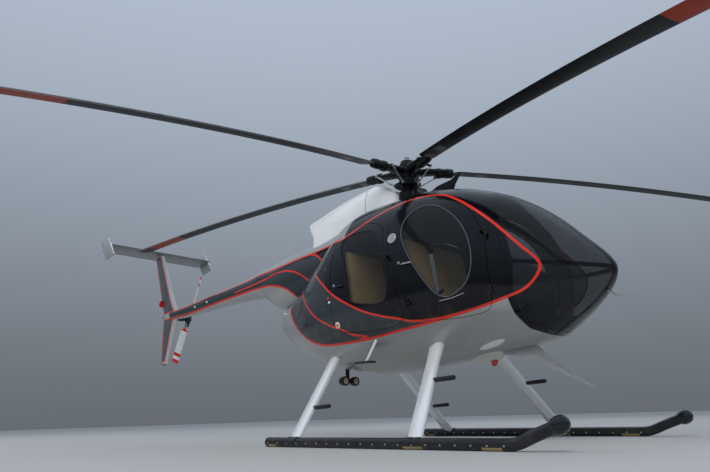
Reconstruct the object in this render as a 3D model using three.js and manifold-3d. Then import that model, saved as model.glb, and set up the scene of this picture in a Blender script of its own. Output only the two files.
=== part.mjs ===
// A light five-blade turbine helicopter parked on its skids. Millimetres, +X nose, +Y port, +Z up.
// Heights are measured from the ground under the skids, lengths from the main rotor's axis.
import * as THREE from "three";
import { mergeVertices } from "three/addons/utils/BufferGeometryUtils.js";
import Module from "manifold-3d";

const wasm = await Module();
wasm.setup();

// Overall layout
const SHIFT_X = 685; // moves the rotor axis so that the bounding box is centred on the origin
const SHIFT_Y = 228;
const GAP = 0.3; // between pieces that are fastened together
const SEAM = 5; // round each door
const RELIEF = 9; // behind a rear door, whose edge swings a little aft
const WALL = 22; // skins with their frames, doors too
const GLASS = 6;

// Fuselage sections: station, half width, bottom and top
const NOSE_TIP = { x: 2024, z: 1262 };
const TAIL_TIP = { x: -1858, z: 1372 };
const SECTIONS = [
  { x: 1985, half: 88, bottom: 1160, top: 1354 },
  { x: 1930, half: 152, bottom: 1096, top: 1424 },
  { x: 1850, half: 224, bottom: 1026, top: 1510 },
  { x: 1750, half: 305, bottom: 952, top: 1616 },
  { x: 1650, half: 380, bottom: 888, top: 1720 },
  { x: 1550, half: 444, bottom: 827, top: 1810 },
  { x: 1450, half: 500, bottom: 778, top: 1890 },
  { x: 1330, half: 560, bottom: 752, top: 1972 },
  { x: 1200, half: 610, bottom: 739, top: 2046 },
  { x: 900, half: 680, bottom: 724, top: 2169 },
  { x: 700, half: 695, bottom: 704, top: 2224 },
  { x: 500, half: 700, bottom: 683, top: 2258 },
  { x: 100, half: 700, bottom: 645, top: 2265 },
  { x: -300, half: 688, bottom: 620, top: 2247 },
  { x: -455, half: 670, bottom: 630, top: 2230 },
  { x: -600, half: 646, bottom: 650, top: 2211 },
  { x: -750, half: 608, bottom: 680, top: 2184 },
  { x: -900, half: 560, bottom: 720, top: 2151 },
  { x: -1200, half: 440, bottom: 822, top: 2062 },
  { x: -1350, half: 384, bottom: 885, top: 2000 },
  { x: -1500, half: 330, bottom: 968, top: 1925 },
  { x: -1620, half: 280, bottom: 1046, top: 1836 },
  { x: -1720, half: 224, bottom: 1126, top: 1724 },
  { x: -1800, half: 154, bottom: 1210, top: 1588 },
  { x: -1843, half: 84, bottom: 1288, top: 1474 },
];
const ROUND = 36; // points round a section
const FULLNESS = 2.25; // exponent of the section's curve
const WIDEST = 0.42; // height of the widest point, as a share of the section
const FIREWALL_X = -455;
const FLOOR_Z = 930;

// Outlines in side view, x and z
const CANOPY = [
  [2300, 500], [1540, 500], [1500, 800], [1425, 845], [1385, 950], [1375, 1060], [1400, 1320],
  [1348, 1560], [1280, 1730], [1150, 1960], [1080, 2130], [1060, 2400], [2300, 2400],
];
const DIVIDER_FRONT_Z = 1262; // the bar between windshield and chin windows
const DIVIDER_REAR_Z = 1345;
const BAR = 32;
const POST = 46;
const FRONT_DOOR = [
  [1262, 1090], [1264, 1400], [1240, 1560], [1180, 1710], [1090, 1835], [970, 1940], [810, 2008],
  [640, 2035], [480, 2025], [380, 1970], [325, 1870], [318, 1760], [350, 1615], [430, 1435],
  [505, 1200], [560, 1045], [620, 985], [1200, 985], [1246, 1022],
];
const FRONT_WINDOW = [
  [478, 1733], [484, 1862], [570, 1958], [723, 1968], [889, 1880], [1050, 1715], [1136, 1525],
  [1149, 1366], [1106, 1228], [1021, 1154], [909, 1122], [833, 1156], [739, 1266], [630, 1427],
  [532, 1604],
];
const REAR_DOOR = [
  [262, 1780], [292, 1620], [372, 1432], [446, 1200], [468, 1070], [420, 985], [-290, 985],
  [-362, 1050], [-384, 1300], [-394, 1650], [-384, 1820], [-320, 1912], [-160, 1958],
  [60, 1946], [196, 1890], [252, 1830],
];
const REAR_WINDOW = [
  [-290, 1790], [-262, 1866], [-105, 1888], [109, 1852], [186, 1760], [222, 1660], [340, 1290],
  [286, 1178], [-89, 1219], [-162, 1285], [-179, 1531],
];

// Door hinges: a point on the axis, its upward direction and the heights of the two knuckles
const FRONT_HINGE = { x: 1284, y: 596, lean: 0, knuckles: [1140, 1600] };
const REAR_HINGE = { x: 418, y: 722, lean: -0.4365, knuckles: [1120, 1560] };
const HINGE_DATUM_Z = 1370;

// Main rotor
const HUB_X = 67; // the datum for all stations is the cabin's own, a little behind the mast
const HUB_Z = 2599;
const ROTOR_TILT = 2.3; // degrees, nose down
const ROTOR_RADIUS = 4025;
const BLADE_AZIMUTH = 190.7; // of the blade over the tail, turning towards port
const BLADES = 5;
const BLADE_CHORD = 171;
const BLADE_DROOP = 308; // at the tip, standing still
const DROOP_POWER = 1.85;
const BLADE_CONE = 0.0077;
const BLADE_LAG = 1.26;
const CYCLIC = 7; // degrees, the greatest pitch with the stick left over to one side
const CYCLIC_AT = 81;
const BLADE_ROOT = 560;
const MAST_R = 32;

// Tail
const BOOM = [
  { x: -1300, z: 1802, half: 226, tall: 303 },
  { x: -1600, z: 1756, half: 222, tall: 316 },
  { x: -1800, z: 1742, half: 212, tall: 301 },
  { x: -1950, z: 1754, half: 196, tall: 264 },
  { x: -2060, z: 1781, half: 184, tall: 222 },
  { x: -2200, z: 1813, half: 166, tall: 174 },
  { x: -2400, z: 1797, half: 144, tall: 147 },
  { x: -2900, z: 1775, half: 114, tall: 115 },
  { x: -3520, z: 1738, half: 95, tall: 96 },
  { x: -4170, z: 1711, half: 74, tall: 76 },
  { x: -4560, z: 1714, half: 50, tall: 51 },
];
const BOOM_ROUND = 22;
const BOOM_WALL = 9;
const BOOM_END_Z = 1714;
const TAIL_ROTOR = { x: -4670, y: 430, z: 1715, radius: 700, turn: 63.7 };
const TAIL_CHORD = 135;
const TAIL_PITCH = 24; // degrees, of the blades about their own length
const STABILISER = { z: 2690, front: -4752, rear: -5088, half: 812 };

// Landing gear
const TRACK = 1106; // half of it
const SKID_R = 40;
const SKID_REAR_X = -742;
const LEGS = [
  { name: "front", foot: 881, top: { x: 660, y: 500, z: 710 }, step: 0.53 },
  { name: "rear", foot: -407, top: { x: -568, y: 476, z: 722 }, step: 0.32 },
];

const V = (x, y, z) => new THREE.Vector3(x, y, z);

function solid(geometry, matrix) {
  const bare = new THREE.BufferGeometry();
  const flat = geometry.index ? geometry.toNonIndexed() : geometry;
  bare.setAttribute("position", flat.getAttribute("position").clone());
  if (matrix) {
    bare.applyMatrix4(matrix);
  }
  const merged = mergeVertices(bare, 1e-3);
  return new wasm.Manifold(
    new wasm.Mesh({
      numProp: 3,
      vertProperties: merged.attributes.position.array,
      triVerts: new Uint32Array(merged.index.array),
    }),
  );
}

// Joins rings of points, from one end to the other, into a closed solid with flat or pointed ends.
function loft(rings) {
  const positions = [];
  const face = (a, b, c) => {
    positions.push(a.x, a.y, a.z, b.x, b.y, b.z, c.x, c.y, c.z);
  };
  for (let i = 0; i + 1 < rings.length; i++) {
    const near = rings[i];
    const far = rings[i + 1];
    const count = Math.max(near.length, far.length);
    for (let j = 0; j < count; j++) {
      const k = (j + 1) % count;
      if (near.length > 1) {
        face(near[j], near[k], far.length > 1 ? far[k] : far[0]);
      }
      if (far.length > 1) {
        face(near.length > 1 ? near[j] : near[0], far[k], far[j]);
      }
    }
  }
  const cap = (ring, turned) => {
    const middle = V(0, 0, 0);
    ring.forEach((p) => middle.add(p));
    middle.divideScalar(ring.length);
    ring.forEach((p, j) => {
      const next = ring[(j + 1) % ring.length];
      face(middle, turned ? p : next, turned ? next : p);
    });
  };
  if (rings[0].length > 1) {
    cap(rings[0], false);
  }
  if (rings.at(-1).length > 1) {
    cap(rings.at(-1), true);
  }
  const geometry = new THREE.BufferGeometry();
  geometry.setAttribute("position", new THREE.Float32BufferAttribute(positions, 3));
  const made = solid(geometry);
  return made.volume() < 0 ? solid(turnedOver(geometry)) : made;
}

function turnedOver(geometry) {
  const old = geometry.getAttribute("position").array;
  const fresh = new Float32Array(old.length);
  for (let i = 0; i < old.length; i += 9) {
    fresh.set(old.slice(i, i + 3), i);
    fresh.set(old.slice(i + 6, i + 9), i + 3);
    fresh.set(old.slice(i + 3, i + 6), i + 6);
  }
  const geometry2 = new THREE.BufferGeometry();
  geometry2.setAttribute("position", new THREE.BufferAttribute(fresh, 3));
  return geometry2;
}

function box(x0, x1, y0, y1, z0, z1) {
  const geometry = new THREE.BoxGeometry(x1 - x0, y1 - y0, z1 - z0);
  geometry.translate((x0 + x1) / 2, (y0 + y1) / 2, (z0 + z1) / 2);
  return solid(geometry);
}

// A side-view outline carried sideways from y0 to y1.
function prism(outline, y0, y1) {
  const shape = new THREE.Shape(outline.map(([x, z]) => new THREE.Vector2(x, z)));
  const geometry = new THREE.ExtrudeGeometry(shape, { depth: y1 - y0, bevelEnabled: false });
  geometry.rotateX(Math.PI / 2);
  geometry.translate(0, y1, 0);
  return solid(geometry);
}

// The outline moved outwards, or inwards with a negative amount.
function grown(outline, amount) {
  const area = outline.reduce((sum, [x, z], i) => {
    const [x2, z2] = outline[(i + 1) % outline.length];
    return sum + x * z2 - x2 * z;
  }, 0);
  const out = amount * Math.sign(area);
  return outline.map(([x, z], i) => {
    const [xa, za] = outline[(i + outline.length - 1) % outline.length];
    const [xb, zb] = outline[(i + 1) % outline.length];
    const a = new THREE.Vector2(z - za, xa - x).normalize();
    const b = new THREE.Vector2(zb - z, x - xb).normalize();
    const reach = out / (1 + a.dot(b));
    return [x + (a.x + b.x) * reach, z + (a.y + b.y) * reach];
  });
}

// A rounded copy of a side-view outline.
function smooth(outline, points) {
  const curve = new THREE.CatmullRomCurve3(outline.map(([x, z]) => V(x, 0, z)), true);
  return curve.getSpacedPoints(points).slice(0, -1).map((p) => [p.x, p.z]);
}

function rod(from, to, radius, sides = 10, radiusTo = radius) {
  const along = V(0, 0, 0).subVectors(to, from);
  const geometry = new THREE.CylinderGeometry(radiusTo, radius, along.length(), sides);
  const middle = V(0, 0, 0).addVectors(from, to).multiplyScalar(0.5);
  const turn = new THREE.Quaternion().setFromUnitVectors(V(0, 1, 0), along.normalize());
  return solid(geometry, new THREE.Matrix4().compose(middle, turn, V(1, 1, 1)));
}

// A flat bar from one point to another, its width across and its thickness along the given side.
function bar(from, to, width, thickness, side) {
  const along = V(0, 0, 0).subVectors(to, from);
  const long = along.length();
  along.normalize();
  const across = V(0, 0, 0).crossVectors(along, side).normalize();
  const flat = V(0, 0, 0).crossVectors(along, across);
  const matrix = new THREE.Matrix4().makeBasis(along, across, flat);
  matrix.setPosition(V(0, 0, 0).addVectors(from, to).multiplyScalar(0.5));
  return solid(new THREE.BoxGeometry(long, width, thickness), matrix);
}

function ball(centre, radius) {
  return solid(new THREE.SphereGeometry(radius, 14, 9).translate(centre.x, centre.y, centre.z));
}

// A bent bar of round section along a path.
function tube(points, radius, sides, steps) {
  const path = new THREE.CatmullRomCurve3(points);
  const shape = new THREE.Shape();
  shape.absarc(0, 0, radius, 0, Math.PI * 2);
  const options = { steps, extrudePath: path, curveSegments: sides / 2, bevelEnabled: false };
  return solid(new THREE.ExtrudeGeometry(shape, options));
}

// A streamlined section of unit chord: nose at 0, tail at -1, thickness given as a share.
function foil(thickness, blunt = 0.02) {
  const stations = [0, 0.03, 0.1, 0.25, 0.45, 0.7, 1];
  const half = (t) => {
    const shape = 1.48 * Math.sqrt(t) - 0.63 * t - 1.76 * t * t + 1.42 * t ** 3 - 0.51 * t ** 4;
    return Math.max(thickness * shape, t > 0.5 ? blunt * thickness : 0);
  };
  const upper = stations.slice(1).map((t) => [-t, half(t)]);
  const lower = stations.slice(1).reverse().map((t) => [-t, -half(t)]);
  return [[0, 0], ...upper, ...lower];
}

function joined(...solids) {
  return solids.reduce((sum, one) => sum.add(one));
}

function mirrored(made) {
  return made.mirror([0, 1, 0]);
}

const helicopter = new THREE.Group();
helicopter.name = "helicopter";
const frame = new THREE.Group();
frame.name = "frame";
frame.position.set(SHIFT_X, SHIFT_Y, 0);
helicopter.add(frame);

function add(name, made, colour, parent = frame, gloss = 0.4) {
  const data = made.getMesh();
  const geometry = new THREE.BufferGeometry();
  geometry.setAttribute("position", new THREE.BufferAttribute(data.vertProperties, 3));
  geometry.setIndex(new THREE.BufferAttribute(data.triVerts, 1));
  geometry.computeVertexNormals();
  const material = new THREE.MeshStandardMaterial({ color: colour, roughness: gloss });
  const mesh = new THREE.Mesh(geometry, material);
  mesh.name = name;
  parent.add(mesh);
  return mesh;
}

// The fuselage's surface, moved inwards by the given amount.
function egg(inset) {
  const grid = SECTIONS.map((s) => {
    const middle = s.bottom + (s.top - s.bottom) * WIDEST;
    return Array.from({ length: ROUND }, (_, j) => {
      const angle = (j / ROUND) * Math.PI * 2;
      const power = (v) => Math.sign(v) * Math.abs(v) ** (2 / FULLNESS);
      const up = Math.sin(angle) > 0 ? s.top - middle : middle - s.bottom;
      return V(s.x, s.half * power(Math.cos(angle)), middle + up * power(Math.sin(angle)));
    });
  });
  const nose = V(NOSE_TIP.x, 0, NOSE_TIP.z);
  const tail = V(TAIL_TIP.x, 0, TAIL_TIP.z);
  const rings = grid.map((ring, i) =>
    ring.map((p, j) => {
      const ahead = i > 0 ? grid[i - 1][j] : nose;
      const behind = i + 1 < grid.length ? grid[i + 1][j] : tail;
      const along = V(0, 0, 0).subVectors(behind, ahead);
      const round = V(0, 0, 0).subVectors(ring[(j + 1) % ROUND], ring[(j + ROUND - 1) % ROUND]);
      const inward = V(0, 0, 0).crossVectors(along, round).normalize();
      const toAxis = V(0, -p.y, SECTIONS[i].bottom * 0.5 + SECTIONS[i].top * 0.5 - p.z);
      if (inward.dot(toAxis) < 0) {
        inward.negate();
      }
      return p.clone().addScaledVector(inward, inset);
    }),
  );
  nose.x -= inset;
  tail.x += inset;
  return loft([[nose], ...rings, [tail]]);
}

// How far the skin stands from the middle plane at a place in side view.
function skin(x, z) {
  const i = Math.max(1, SECTIONS.findIndex((s) => s.x < x));
  const [a, b] = [SECTIONS[i - 1], SECTIONS[i]];
  const t = (x - a.x) / (b.x - a.x);
  const mix = (key) => a[key] + (b[key] - a[key]) * t;
  const middle = mix("bottom") + (mix("top") - mix("bottom")) * WIDEST;
  const reach = z > middle ? mix("top") - middle : middle - mix("bottom");
  return mix("half") * (1 - Math.abs((z - middle) / reach) ** FULLNESS) ** (1 / FULLNESS);
}

const outer = egg(0);
const keepOff = egg(-GAP);
const shell = outer.subtract(egg(WALL));
const glassShell = outer.subtract(egg(GLASS));
const inside = egg(WALL + GAP);

// Canopy frame with its four panes
const canopyVolume = prism(CANOPY, -900, 900);
const divide = (drop) => [
  [2300, DIVIDER_FRONT_Z - 39 + drop], [1300, DIVIDER_REAR_Z + 13 + drop],
];
const paneOutline = grown(CANOPY, -42);
const upperHalf = [[1000, 2400], [1000, 1380 + BAR / 2], ...divide(BAR / 2).reverse(), [2300, 2400]];
const lowerHalf = [[1000, 500], [1000, 1380 - BAR / 2], ...divide(-BAR / 2).reverse(), [2300, 500]];
const paneVolume = (half, gap) => {
  const side = prism(grown(paneOutline, -gap), -900, -POST / 2 - gap);
  return side.intersect(prism(grown(half, -gap), -950, 0));
};
const windshield = glassShell.intersect(paneVolume(upperHalf, GAP));
const chin = glassShell.intersect(paneVolume(lowerHalf, GAP));
const paneHoles = joined(
  paneVolume(upperHalf, 0), paneVolume(lowerHalf, 0),
  mirrored(paneVolume(upperHalf, 0)), mirrored(paneVolume(lowerHalf, 0)),
);
add("canopy_frame", shell.intersect(canopyVolume).subtract(paneHoles), 0x15161a);
add("windshield_right", windshield, 0x2a2d31, frame, 0.1);
add("windshield_left", mirrored(windshield), 0x2a2d31, frame, 0.1);
add("chin_window_right", chin, 0x2a2d31, frame, 0.1);
add("chin_window_left", mirrored(chin), 0x2a2d31, frame, 0.1);

// Door hinges: the shell carries a bored knuckle, the door the one above it with the pin
function hinge(spec, outline, knuckleZ) {
  const at = (z) => V(spec.x + (z - HINGE_DATUM_Z) * spec.lean, -spec.y, z);
  const z0 = knuckleZ - 22;
  const fixedX = frontEdge(outline, z0) + 32;
  const fixedRoot = V(fixedX, -skin(fixedX, z0) + 9, z0);
  const doorX = frontEdge(outline, knuckleZ + 12) - 26;
  const movingRoot = V(doorX, -skin(doorX, knuckleZ + 12) + 9, knuckleZ + 12);
  const fixed = joined(
    rod(at(knuckleZ - 36), at(knuckleZ - 8), 10),
    bar(at(z0), fixedRoot, 26, 9, V(0, 1, 0)),
  ).subtract(rod(at(knuckleZ - 60), at(knuckleZ + 40), 4.3, 12));
  const moving = joined(
    rod(at(knuckleZ - 2), at(knuckleZ + 26), 10),
    bar(at(knuckleZ + 12), movingRoot, 26, 9, V(0, 1, 0)),
    rod(at(knuckleZ - 37), at(knuckleZ + 2), 4, 12),
  );
  return { fixed, moving };
}

// Where an outline's front edge is at a height.
function frontEdge(outline, z) {
  const crossings = outline.map(([x, za], i) => {
    const [x2, zb] = outline[(i + 1) % outline.length];
    return (za - z) * (zb - z) <= 0 && za !== zb ? x + ((x2 - x) * (z - za)) / (zb - za) : -Infinity;
  });
  return Math.max(...crossings);
}

const DOORS = [
  { name: "front", outline: FRONT_DOOR, window: FRONT_WINDOW, hinge: FRONT_HINGE, handle: [560, 1320] },
  { name: "rear", outline: REAR_DOOR, window: REAR_WINDOW, hinge: REAR_HINGE, handle: [-272, 1380] },
];
let cabin = shell.intersect(box(FIREWALL_X, 3000, -900, 900, 0, 3000));
cabin = cabin.subtract(prism(grown(CANOPY, GAP), -950, 950));
for (const door of DOORS) {
  const outline = smooth(door.outline, 30);
  const opening = smooth(door.window, 24);
  const leaf = shell.intersect(prism(outline, -900, -200)).subtract(prism(opening, -900, -100));
  const pane = glassShell.intersect(prism(grown(opening, -GAP), -900, -200));
  const [hx, hz] = door.handle;
  const hy = -skin(hx, hz);
  const handle = joined(
    box(hx - 55, hx + 55, hy - 26, hy - 16, hz - 9, hz + 9),
    box(hx - 50, hx - 34, hy - 18, hy + 8, hz - 7, hz + 7),
    box(hx + 34, hx + 50, hy - 18, hy + 8, hz - 7, hz + 7),
  );
  const hinges = door.hinge.knuckles.map((z) => hinge(door.hinge, outline, z));
  const clearance = grown(outline, SEAM);
  const aft = door.name === "rear" ? RELIEF - SEAM : 0;
  const behind = clearance.map(([x, z]) => [x < -150 ? x - aft : x, z]);
  const gap = prism(behind, -950, -200);
  const whole = joined(leaf, handle, ...hinges.map((h) => h.moving));
  cabin = joined(cabin.subtract(gap).subtract(mirrored(gap)), ...hinges.map((h) => h.fixed));
  cabin = joined(cabin, ...hinges.map((h) => mirrored(h.fixed)));
  add(`door_${door.name}_right`, whole, 0x15161a);
  add(`door_${door.name}_left`, mirrored(whole), 0x15161a);
  add(`door_window_${door.name}_right`, pane, 0x2a2d31, frame, 0.1);
  add(`door_window_${door.name}_left`, mirrored(pane), 0x2a2d31, frame, 0.1);
}
add("cabin_shell", cabin, 0x9a9da0);

// Floor, firewall and what stands on the floor
const floor = inside.intersect(box(FIREWALL_X, 1690, -900, 900, 0, FLOOR_Z));
add("cabin_floor", floor, 0x3b3b3d);
const firewall = inside.intersect(box(FIREWALL_X, FIREWALL_X + 20, -900, 900, FLOOR_Z + GAP, 3000));
add("firewall", firewall, 0x55585c);

// Seats: the shell of each, which the cushions cover in the finished look
const SEATS = [
  { name: "seat_front_right", y: -285, half: 235, front: 830, rear: 300, top: 1160 },
  { name: "seat_front_left", y: 285, half: 235, front: 830, rear: 300, top: 1160 },
  { name: "seat_rear_bench", y: 0, half: 520, front: 110, rear: -330, top: 1150 },
];
for (const seat of SEATS) {
  const y0 = seat.y - seat.half;
  const y1 = seat.y + seat.half;
  const back = [
    [seat.rear + 90, seat.top - 40], [seat.rear - 30, seat.top + 620], [seat.rear - 60, seat.top + 610],
    [seat.rear, seat.top - 160],
  ];
  const base = box(seat.rear, seat.front, y0, y1, FLOOR_Z + GAP, seat.top);
  add(seat.name, joined(base, prism(back, y0 + 10, y1 - 10)), 0xb89b78);
}
const pedestal = [
  [1120, FLOOR_Z + GAP], [1000, 1130], [1010, 1180], [1180, 1330], [1190, 1420], [1250, 1430],
  [1400, 1330], [1440, 1180], [1400, FLOOR_Z + GAP],
];
add("instrument_console", prism(pedestal, -150, 150), 0x222326);
const CONTROLS = [
  { name: "cyclic_right", y: -285 },
  { name: "cyclic_left", y: 285 },
];
for (const stick of CONTROLS) {
  const points = [
    V(930, stick.y, FLOOR_Z + GAP), V(940, stick.y, 1080), V(960, stick.y, 1240), V(905, stick.y, 1400),
  ];
  const grip = rod(V(912, stick.y, 1370), V(890, stick.y, 1470), 18);
  const under = box(800, 1100, stick.y - 60, stick.y + 60, FLOOR_Z - 60, FLOOR_Z + GAP);
  add(stick.name, joined(tube(points, 11, 8, 7), grip).subtract(under), 0x1b1b1c);
}

// Rear fuselage, engine and exhaust
const exhaustHole = rod(V(-1640, 0, 1350), V(-2115, 0, 1330), 104, 18);
const rear = shell.intersect(box(-3000, FIREWALL_X - GAP, -900, 900, 0, 3000)).subtract(exhaustHole);
add("rear_fuselage", rear, 0xa5a8ab);
const block = inside.intersect(box(-1180, -620, -210, 210, 0, 1500));
add("engine_block", block, 0x6c6e70);
const pipe = joined(
  rod(V(-1180 - GAP, 0, 1370), V(-1420, 0, 1359), 84, 18),
  rod(V(-1400, 0, 1360), V(-1876, 0, 1340), 84, 18),
);
const bore = rod(V(-1560, 0, 1353), V(-2400, 0, 1318), 78, 18);
const ahead = box(-1180 - GAP, -1000, -200, 200, 1200, 1600);
add("exhaust_pipe", pipe.subtract(bore).subtract(ahead), 0x77736c);

// Mast fairing on the roof
const FAIRING = [
  { x: -50, half: 46, top: 2240, lean: 0 },
  { x: -85, half: 96, top: 2350, lean: 0 },
  { x: -150, half: 138, top: 2442, lean: 0 },
  { x: -250, half: 166, top: 2506, lean: 0 },
  { x: -400, half: 182, top: 2524, lean: 0 },
  { x: -650, half: 184, top: 2496, lean: 0 },
  { x: -920, half: 174, top: 2440, lean: 0 },
  { x: -1110, half: 162, top: 2392, lean: 0 },
  { x: -1190, half: 150, top: 2358, lean: -0.5 },
];
const fairing = loft(
  FAIRING.map((s) => {
    const corner = (angle) => {
      const power = (v) => Math.sign(v) * Math.abs(v) ** 0.62;
      const up = (s.top - 2150) * power(Math.sin(angle));
      return V(s.x + s.lean * up, s.half * power(Math.cos(angle)), 2150 + up);
    };
    const arc = Array.from({ length: 13 }, (_, j) => corner((j / 12) * Math.PI));
    return [...arc, V(s.x, -s.half, 1900), V(s.x, s.half, 1900)];
  }),
);
const tilt = THREE.MathUtils.degToRad(ROTOR_TILT);
const alongMast = (h) => V(HUB_X + h * Math.sin(tilt), 0, HUB_Z + h * Math.cos(tilt));

// Tail boom
function boomLoft(inset, from = 0) {
  return loft(
    BOOM.slice(from).map((s) =>
      Array.from({ length: BOOM_ROUND }, (_, j) => {
        const angle = (j / BOOM_ROUND) * Math.PI * 2;
        return V(s.x, (s.half - inset) * Math.cos(angle), s.z + (s.tall - inset) * Math.sin(angle));
      }),
    ),
  );
}
const boomSolid = boomLoft(0);
const boomKeepOff = boomLoft(-GAP);
const hollow = boomLoft(BOOM_WALL).intersect(box(-4520, 0, -900, 900, 0, 3000));
let boom = boomSolid.subtract(keepOff).subtract(hollow);
const fairingBody = fairing.subtract(keepOff).subtract(boomKeepOff);
add("mast_fairing", fairingBody.subtract(rod(alongMast(-600), alongMast(0), MAST_R + 28 + GAP, 24)), 0xc9ccce);
const mastBody = joined(
  rod(alongMast(-600), alongMast(-175), MAST_R + 28, 24),
  rod(alongMast(-200), alongMast(60), MAST_R, 20),
);
add("rotor_mast", mastBody.subtract(keepOff), 0x3a3c3f);

// Fins and stabiliser
function fin(rows) {
  return loft(
    rows.map((row) =>
      foil(row.thick / (row.front - row.rear)).map(([t, side]) => {
        const chord = row.front - row.rear;
        return V(row.front + t * chord, side * chord * 1, row.z + t * (row.drop ?? 0));
      }),
    ),
  );
}
const upperFin = fin([
  { z: 1700, front: -4262, rear: -4618, thick: 52 },
  { z: 1760, front: -4292, rear: -4640, thick: 52 },
  { z: 2700, front: -4790, rear: -4975, thick: 42 },
]);
const lowerFin = fin([
  { z: 1700, front: -4272, rear: -4622, thick: 50 },
  { z: 1560, front: -4312, rear: -4632, thick: 50 },
  { z: 1020, front: -4488, rear: -4632, thick: 34 },
]);
add("tail_boom", boom, 0x8f9295);
const stabSection = (y, grow = 0) => {
  const chord = STABILISER.front - STABILISER.rear + 2 * grow;
  return foil((42 + 3 * grow) / chord).map(([t, side]) =>
    V(STABILISER.front + grow + t * chord, y, STABILISER.z + side * chord),
  );
};
const PLATE = [[-4680, 2558], [-4910, 2850], [-5140, 2828], [-4920, 2503]];
const plate = (y) => prism(smoothCorners(PLATE), y - 7, y + 7);
function smoothCorners(outline) {
  return outline.flatMap(([x, z], i) => {
    const before = outline[(i + outline.length - 1) % outline.length];
    const after = outline[(i + 1) % outline.length];
    const toward = ([px, pz], share) => [x + (px - x) * share, z + (pz - z) * share];
    return [toward(before, 0.12), toward(after, 0.12)];
  });
}
const stabiliser = joined(
  loft([stabSection(-STABILISER.half), stabSection(STABILISER.half)]),
  plate(-STABILISER.half),
  plate(STABILISER.half),
);
add("stabiliser", stabiliser, 0xa8abae);
const stabKeepOff = joined(
  loft([-900, 900].map((y) => stabSection(y, GAP))),
  box(-5200, -4700, -900, 900, STABILISER.z, 2950),
);
const gearboxRoom = box(-4800, -4560, -120, 120, 1636, 1792);
const finKeepOff = joined(boomKeepOff, gearboxRoom);
add("upper_fin", upperFin.subtract(finKeepOff).subtract(stabKeepOff), 0x3b3f45);
add("lower_fin", lowerFin.subtract(finKeepOff), 0x3b3f45);

// Tail gearbox and tail rotor, on the port side
const T = TAIL_ROTOR;
const gearboxAxis = (y) => V(T.x, y, T.z);
const boomEnd = V(-4560 - GAP, 0, BOOM_END_Z);
const gearbox = joined(
  rod(boomEnd, V(-4575, 0, BOOM_END_Z), 60, 20),
  rod(V(-4570, 0, BOOM_END_Z), V(-4650, 0, T.z), 48, 20, 56),
  ball(V(T.x, 0, T.z - 4), 70),
  rod(gearboxAxis(0), gearboxAxis(T.y - 90), 34, 20),
  rod(gearboxAxis(T.y - 110), gearboxAxis(T.y + 16), 15, 16),
);
add("tail_gearbox", gearbox.subtract(boomKeepOff), 0xb9bbbd);
const tailHub = joined(
  rod(gearboxAxis(T.y - 50), gearboxAxis(T.y + 30), 44, 20),
  rod(V(T.x - 110, T.y, T.z), V(T.x + 110, T.y, T.z), 30, 16),
).subtract(rod(gearboxAxis(T.y - 200), gearboxAxis(T.y + 16 + GAP), 15 + GAP, 16));
const tailRotor = new THREE.Group();
tailRotor.name = "tail_rotor";
const turnTail = new THREE.Matrix4()
  .makeTranslation(T.x, T.y, T.z)
  .multiply(new THREE.Matrix4().makeRotationY(THREE.MathUtils.degToRad(-T.turn)))
  .multiply(new THREE.Matrix4().makeTranslation(-T.x, -T.y, -T.z));
frame.add(tailRotor);
const placed = (made, matrix) => made.transform(matrix.elements);
add("tail_rotor_hub", placed(tailHub, turnTail), 0x2c2d2f, tailRotor);
const pitch = THREE.MathUtils.degToRad(TAIL_PITCH);
for (const [index, way] of [[1, 1], [2, -1]]) {
  const span = (r) =>
    foil(0.11).map(([t, side]) => {
      const lead = (t + 0.32) * TAIL_CHORD;
      const across = side * TAIL_CHORD;
      const y = across * Math.cos(pitch) + lead * Math.sin(pitch);
      return V(T.x + way * r, T.y + y, T.z + way * (lead * Math.cos(pitch) - across * Math.sin(pitch)));
    });
  const blade = joined(
    loft([span(150), span(T.radius)]),
    box(...(way > 0 ? [T.x + 110 + GAP, T.x + 200] : [T.x - 200, T.x - 110 - GAP]),
      T.y - 9, T.y + 9, T.z - 30, T.z + 30),
  );
  add(`tail_blade_${index}`, placed(blade, turnTail), 0xe6e4df, tailRotor);
}

// Main rotor: hub with arms, pitch links and swashplate, and five drooping blades
const rotor = new THREE.Group();
rotor.name = "main_rotor";
frame.add(rotor);
const toRotor = new THREE.Matrix4()
  .makeTranslation(HUB_X, 0, HUB_Z)
  .multiply(new THREE.Matrix4().makeRotationY(tilt));
let hub = joined(
  rod(V(0, 0, -78), V(0, 0, 62), 92, 20),
  rod(V(0, 0, 60), V(0, 0, 122), 78, 24, 62),
  rod(V(0, 0, 120), V(0, 0, 172), 34, 16, 26),
  rod(V(0, 0, -160), V(0, 0, -128), 150, 20),
  rod(V(0, 0, -130), V(0, 0, -70), 60, 16),
);
for (let k = 0; k < BLADES; k++) {
  const angle = THREE.MathUtils.degToRad(BLADE_AZIMUTH + 72 * k);
  const out = V(Math.cos(angle), Math.sin(angle), 0);
  const side = V(-Math.sin(angle), Math.cos(angle), 0);
  const at = (r, s, h) => V(0, 0, h).addScaledVector(out, r).addScaledVector(side, s);
  hub = joined(
    hub,
    bar(at(60, 0, 0), at(330, 0, -2), 74, 44, V(0, 0, 1)),
    rod(at(300, 0, -2), at(BLADE_ROOT - 90, 0, -5), 46, 12, 38),
    bar(at(300, 20, -4), at(300, 120, -14), 40, 22, V(0, 0, 1)),
    rod(at(142, 96, -142), at(298, 112, -14), 9, 6),
    rod(at(150, -70, 8), at(400, -64, 2), 17, 7),
    bar(at(390, -70, 2), at(390, 0, 0), 34, 24, V(0, 0, 1)),
  );
}
hub = hub.subtract(rod(V(0, 0, -500), V(0, 0, 60 + GAP), MAST_R + 1, 20));
add("rotor_hub", placed(hub, toRotor), 0x1d1e20, rotor);
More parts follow.
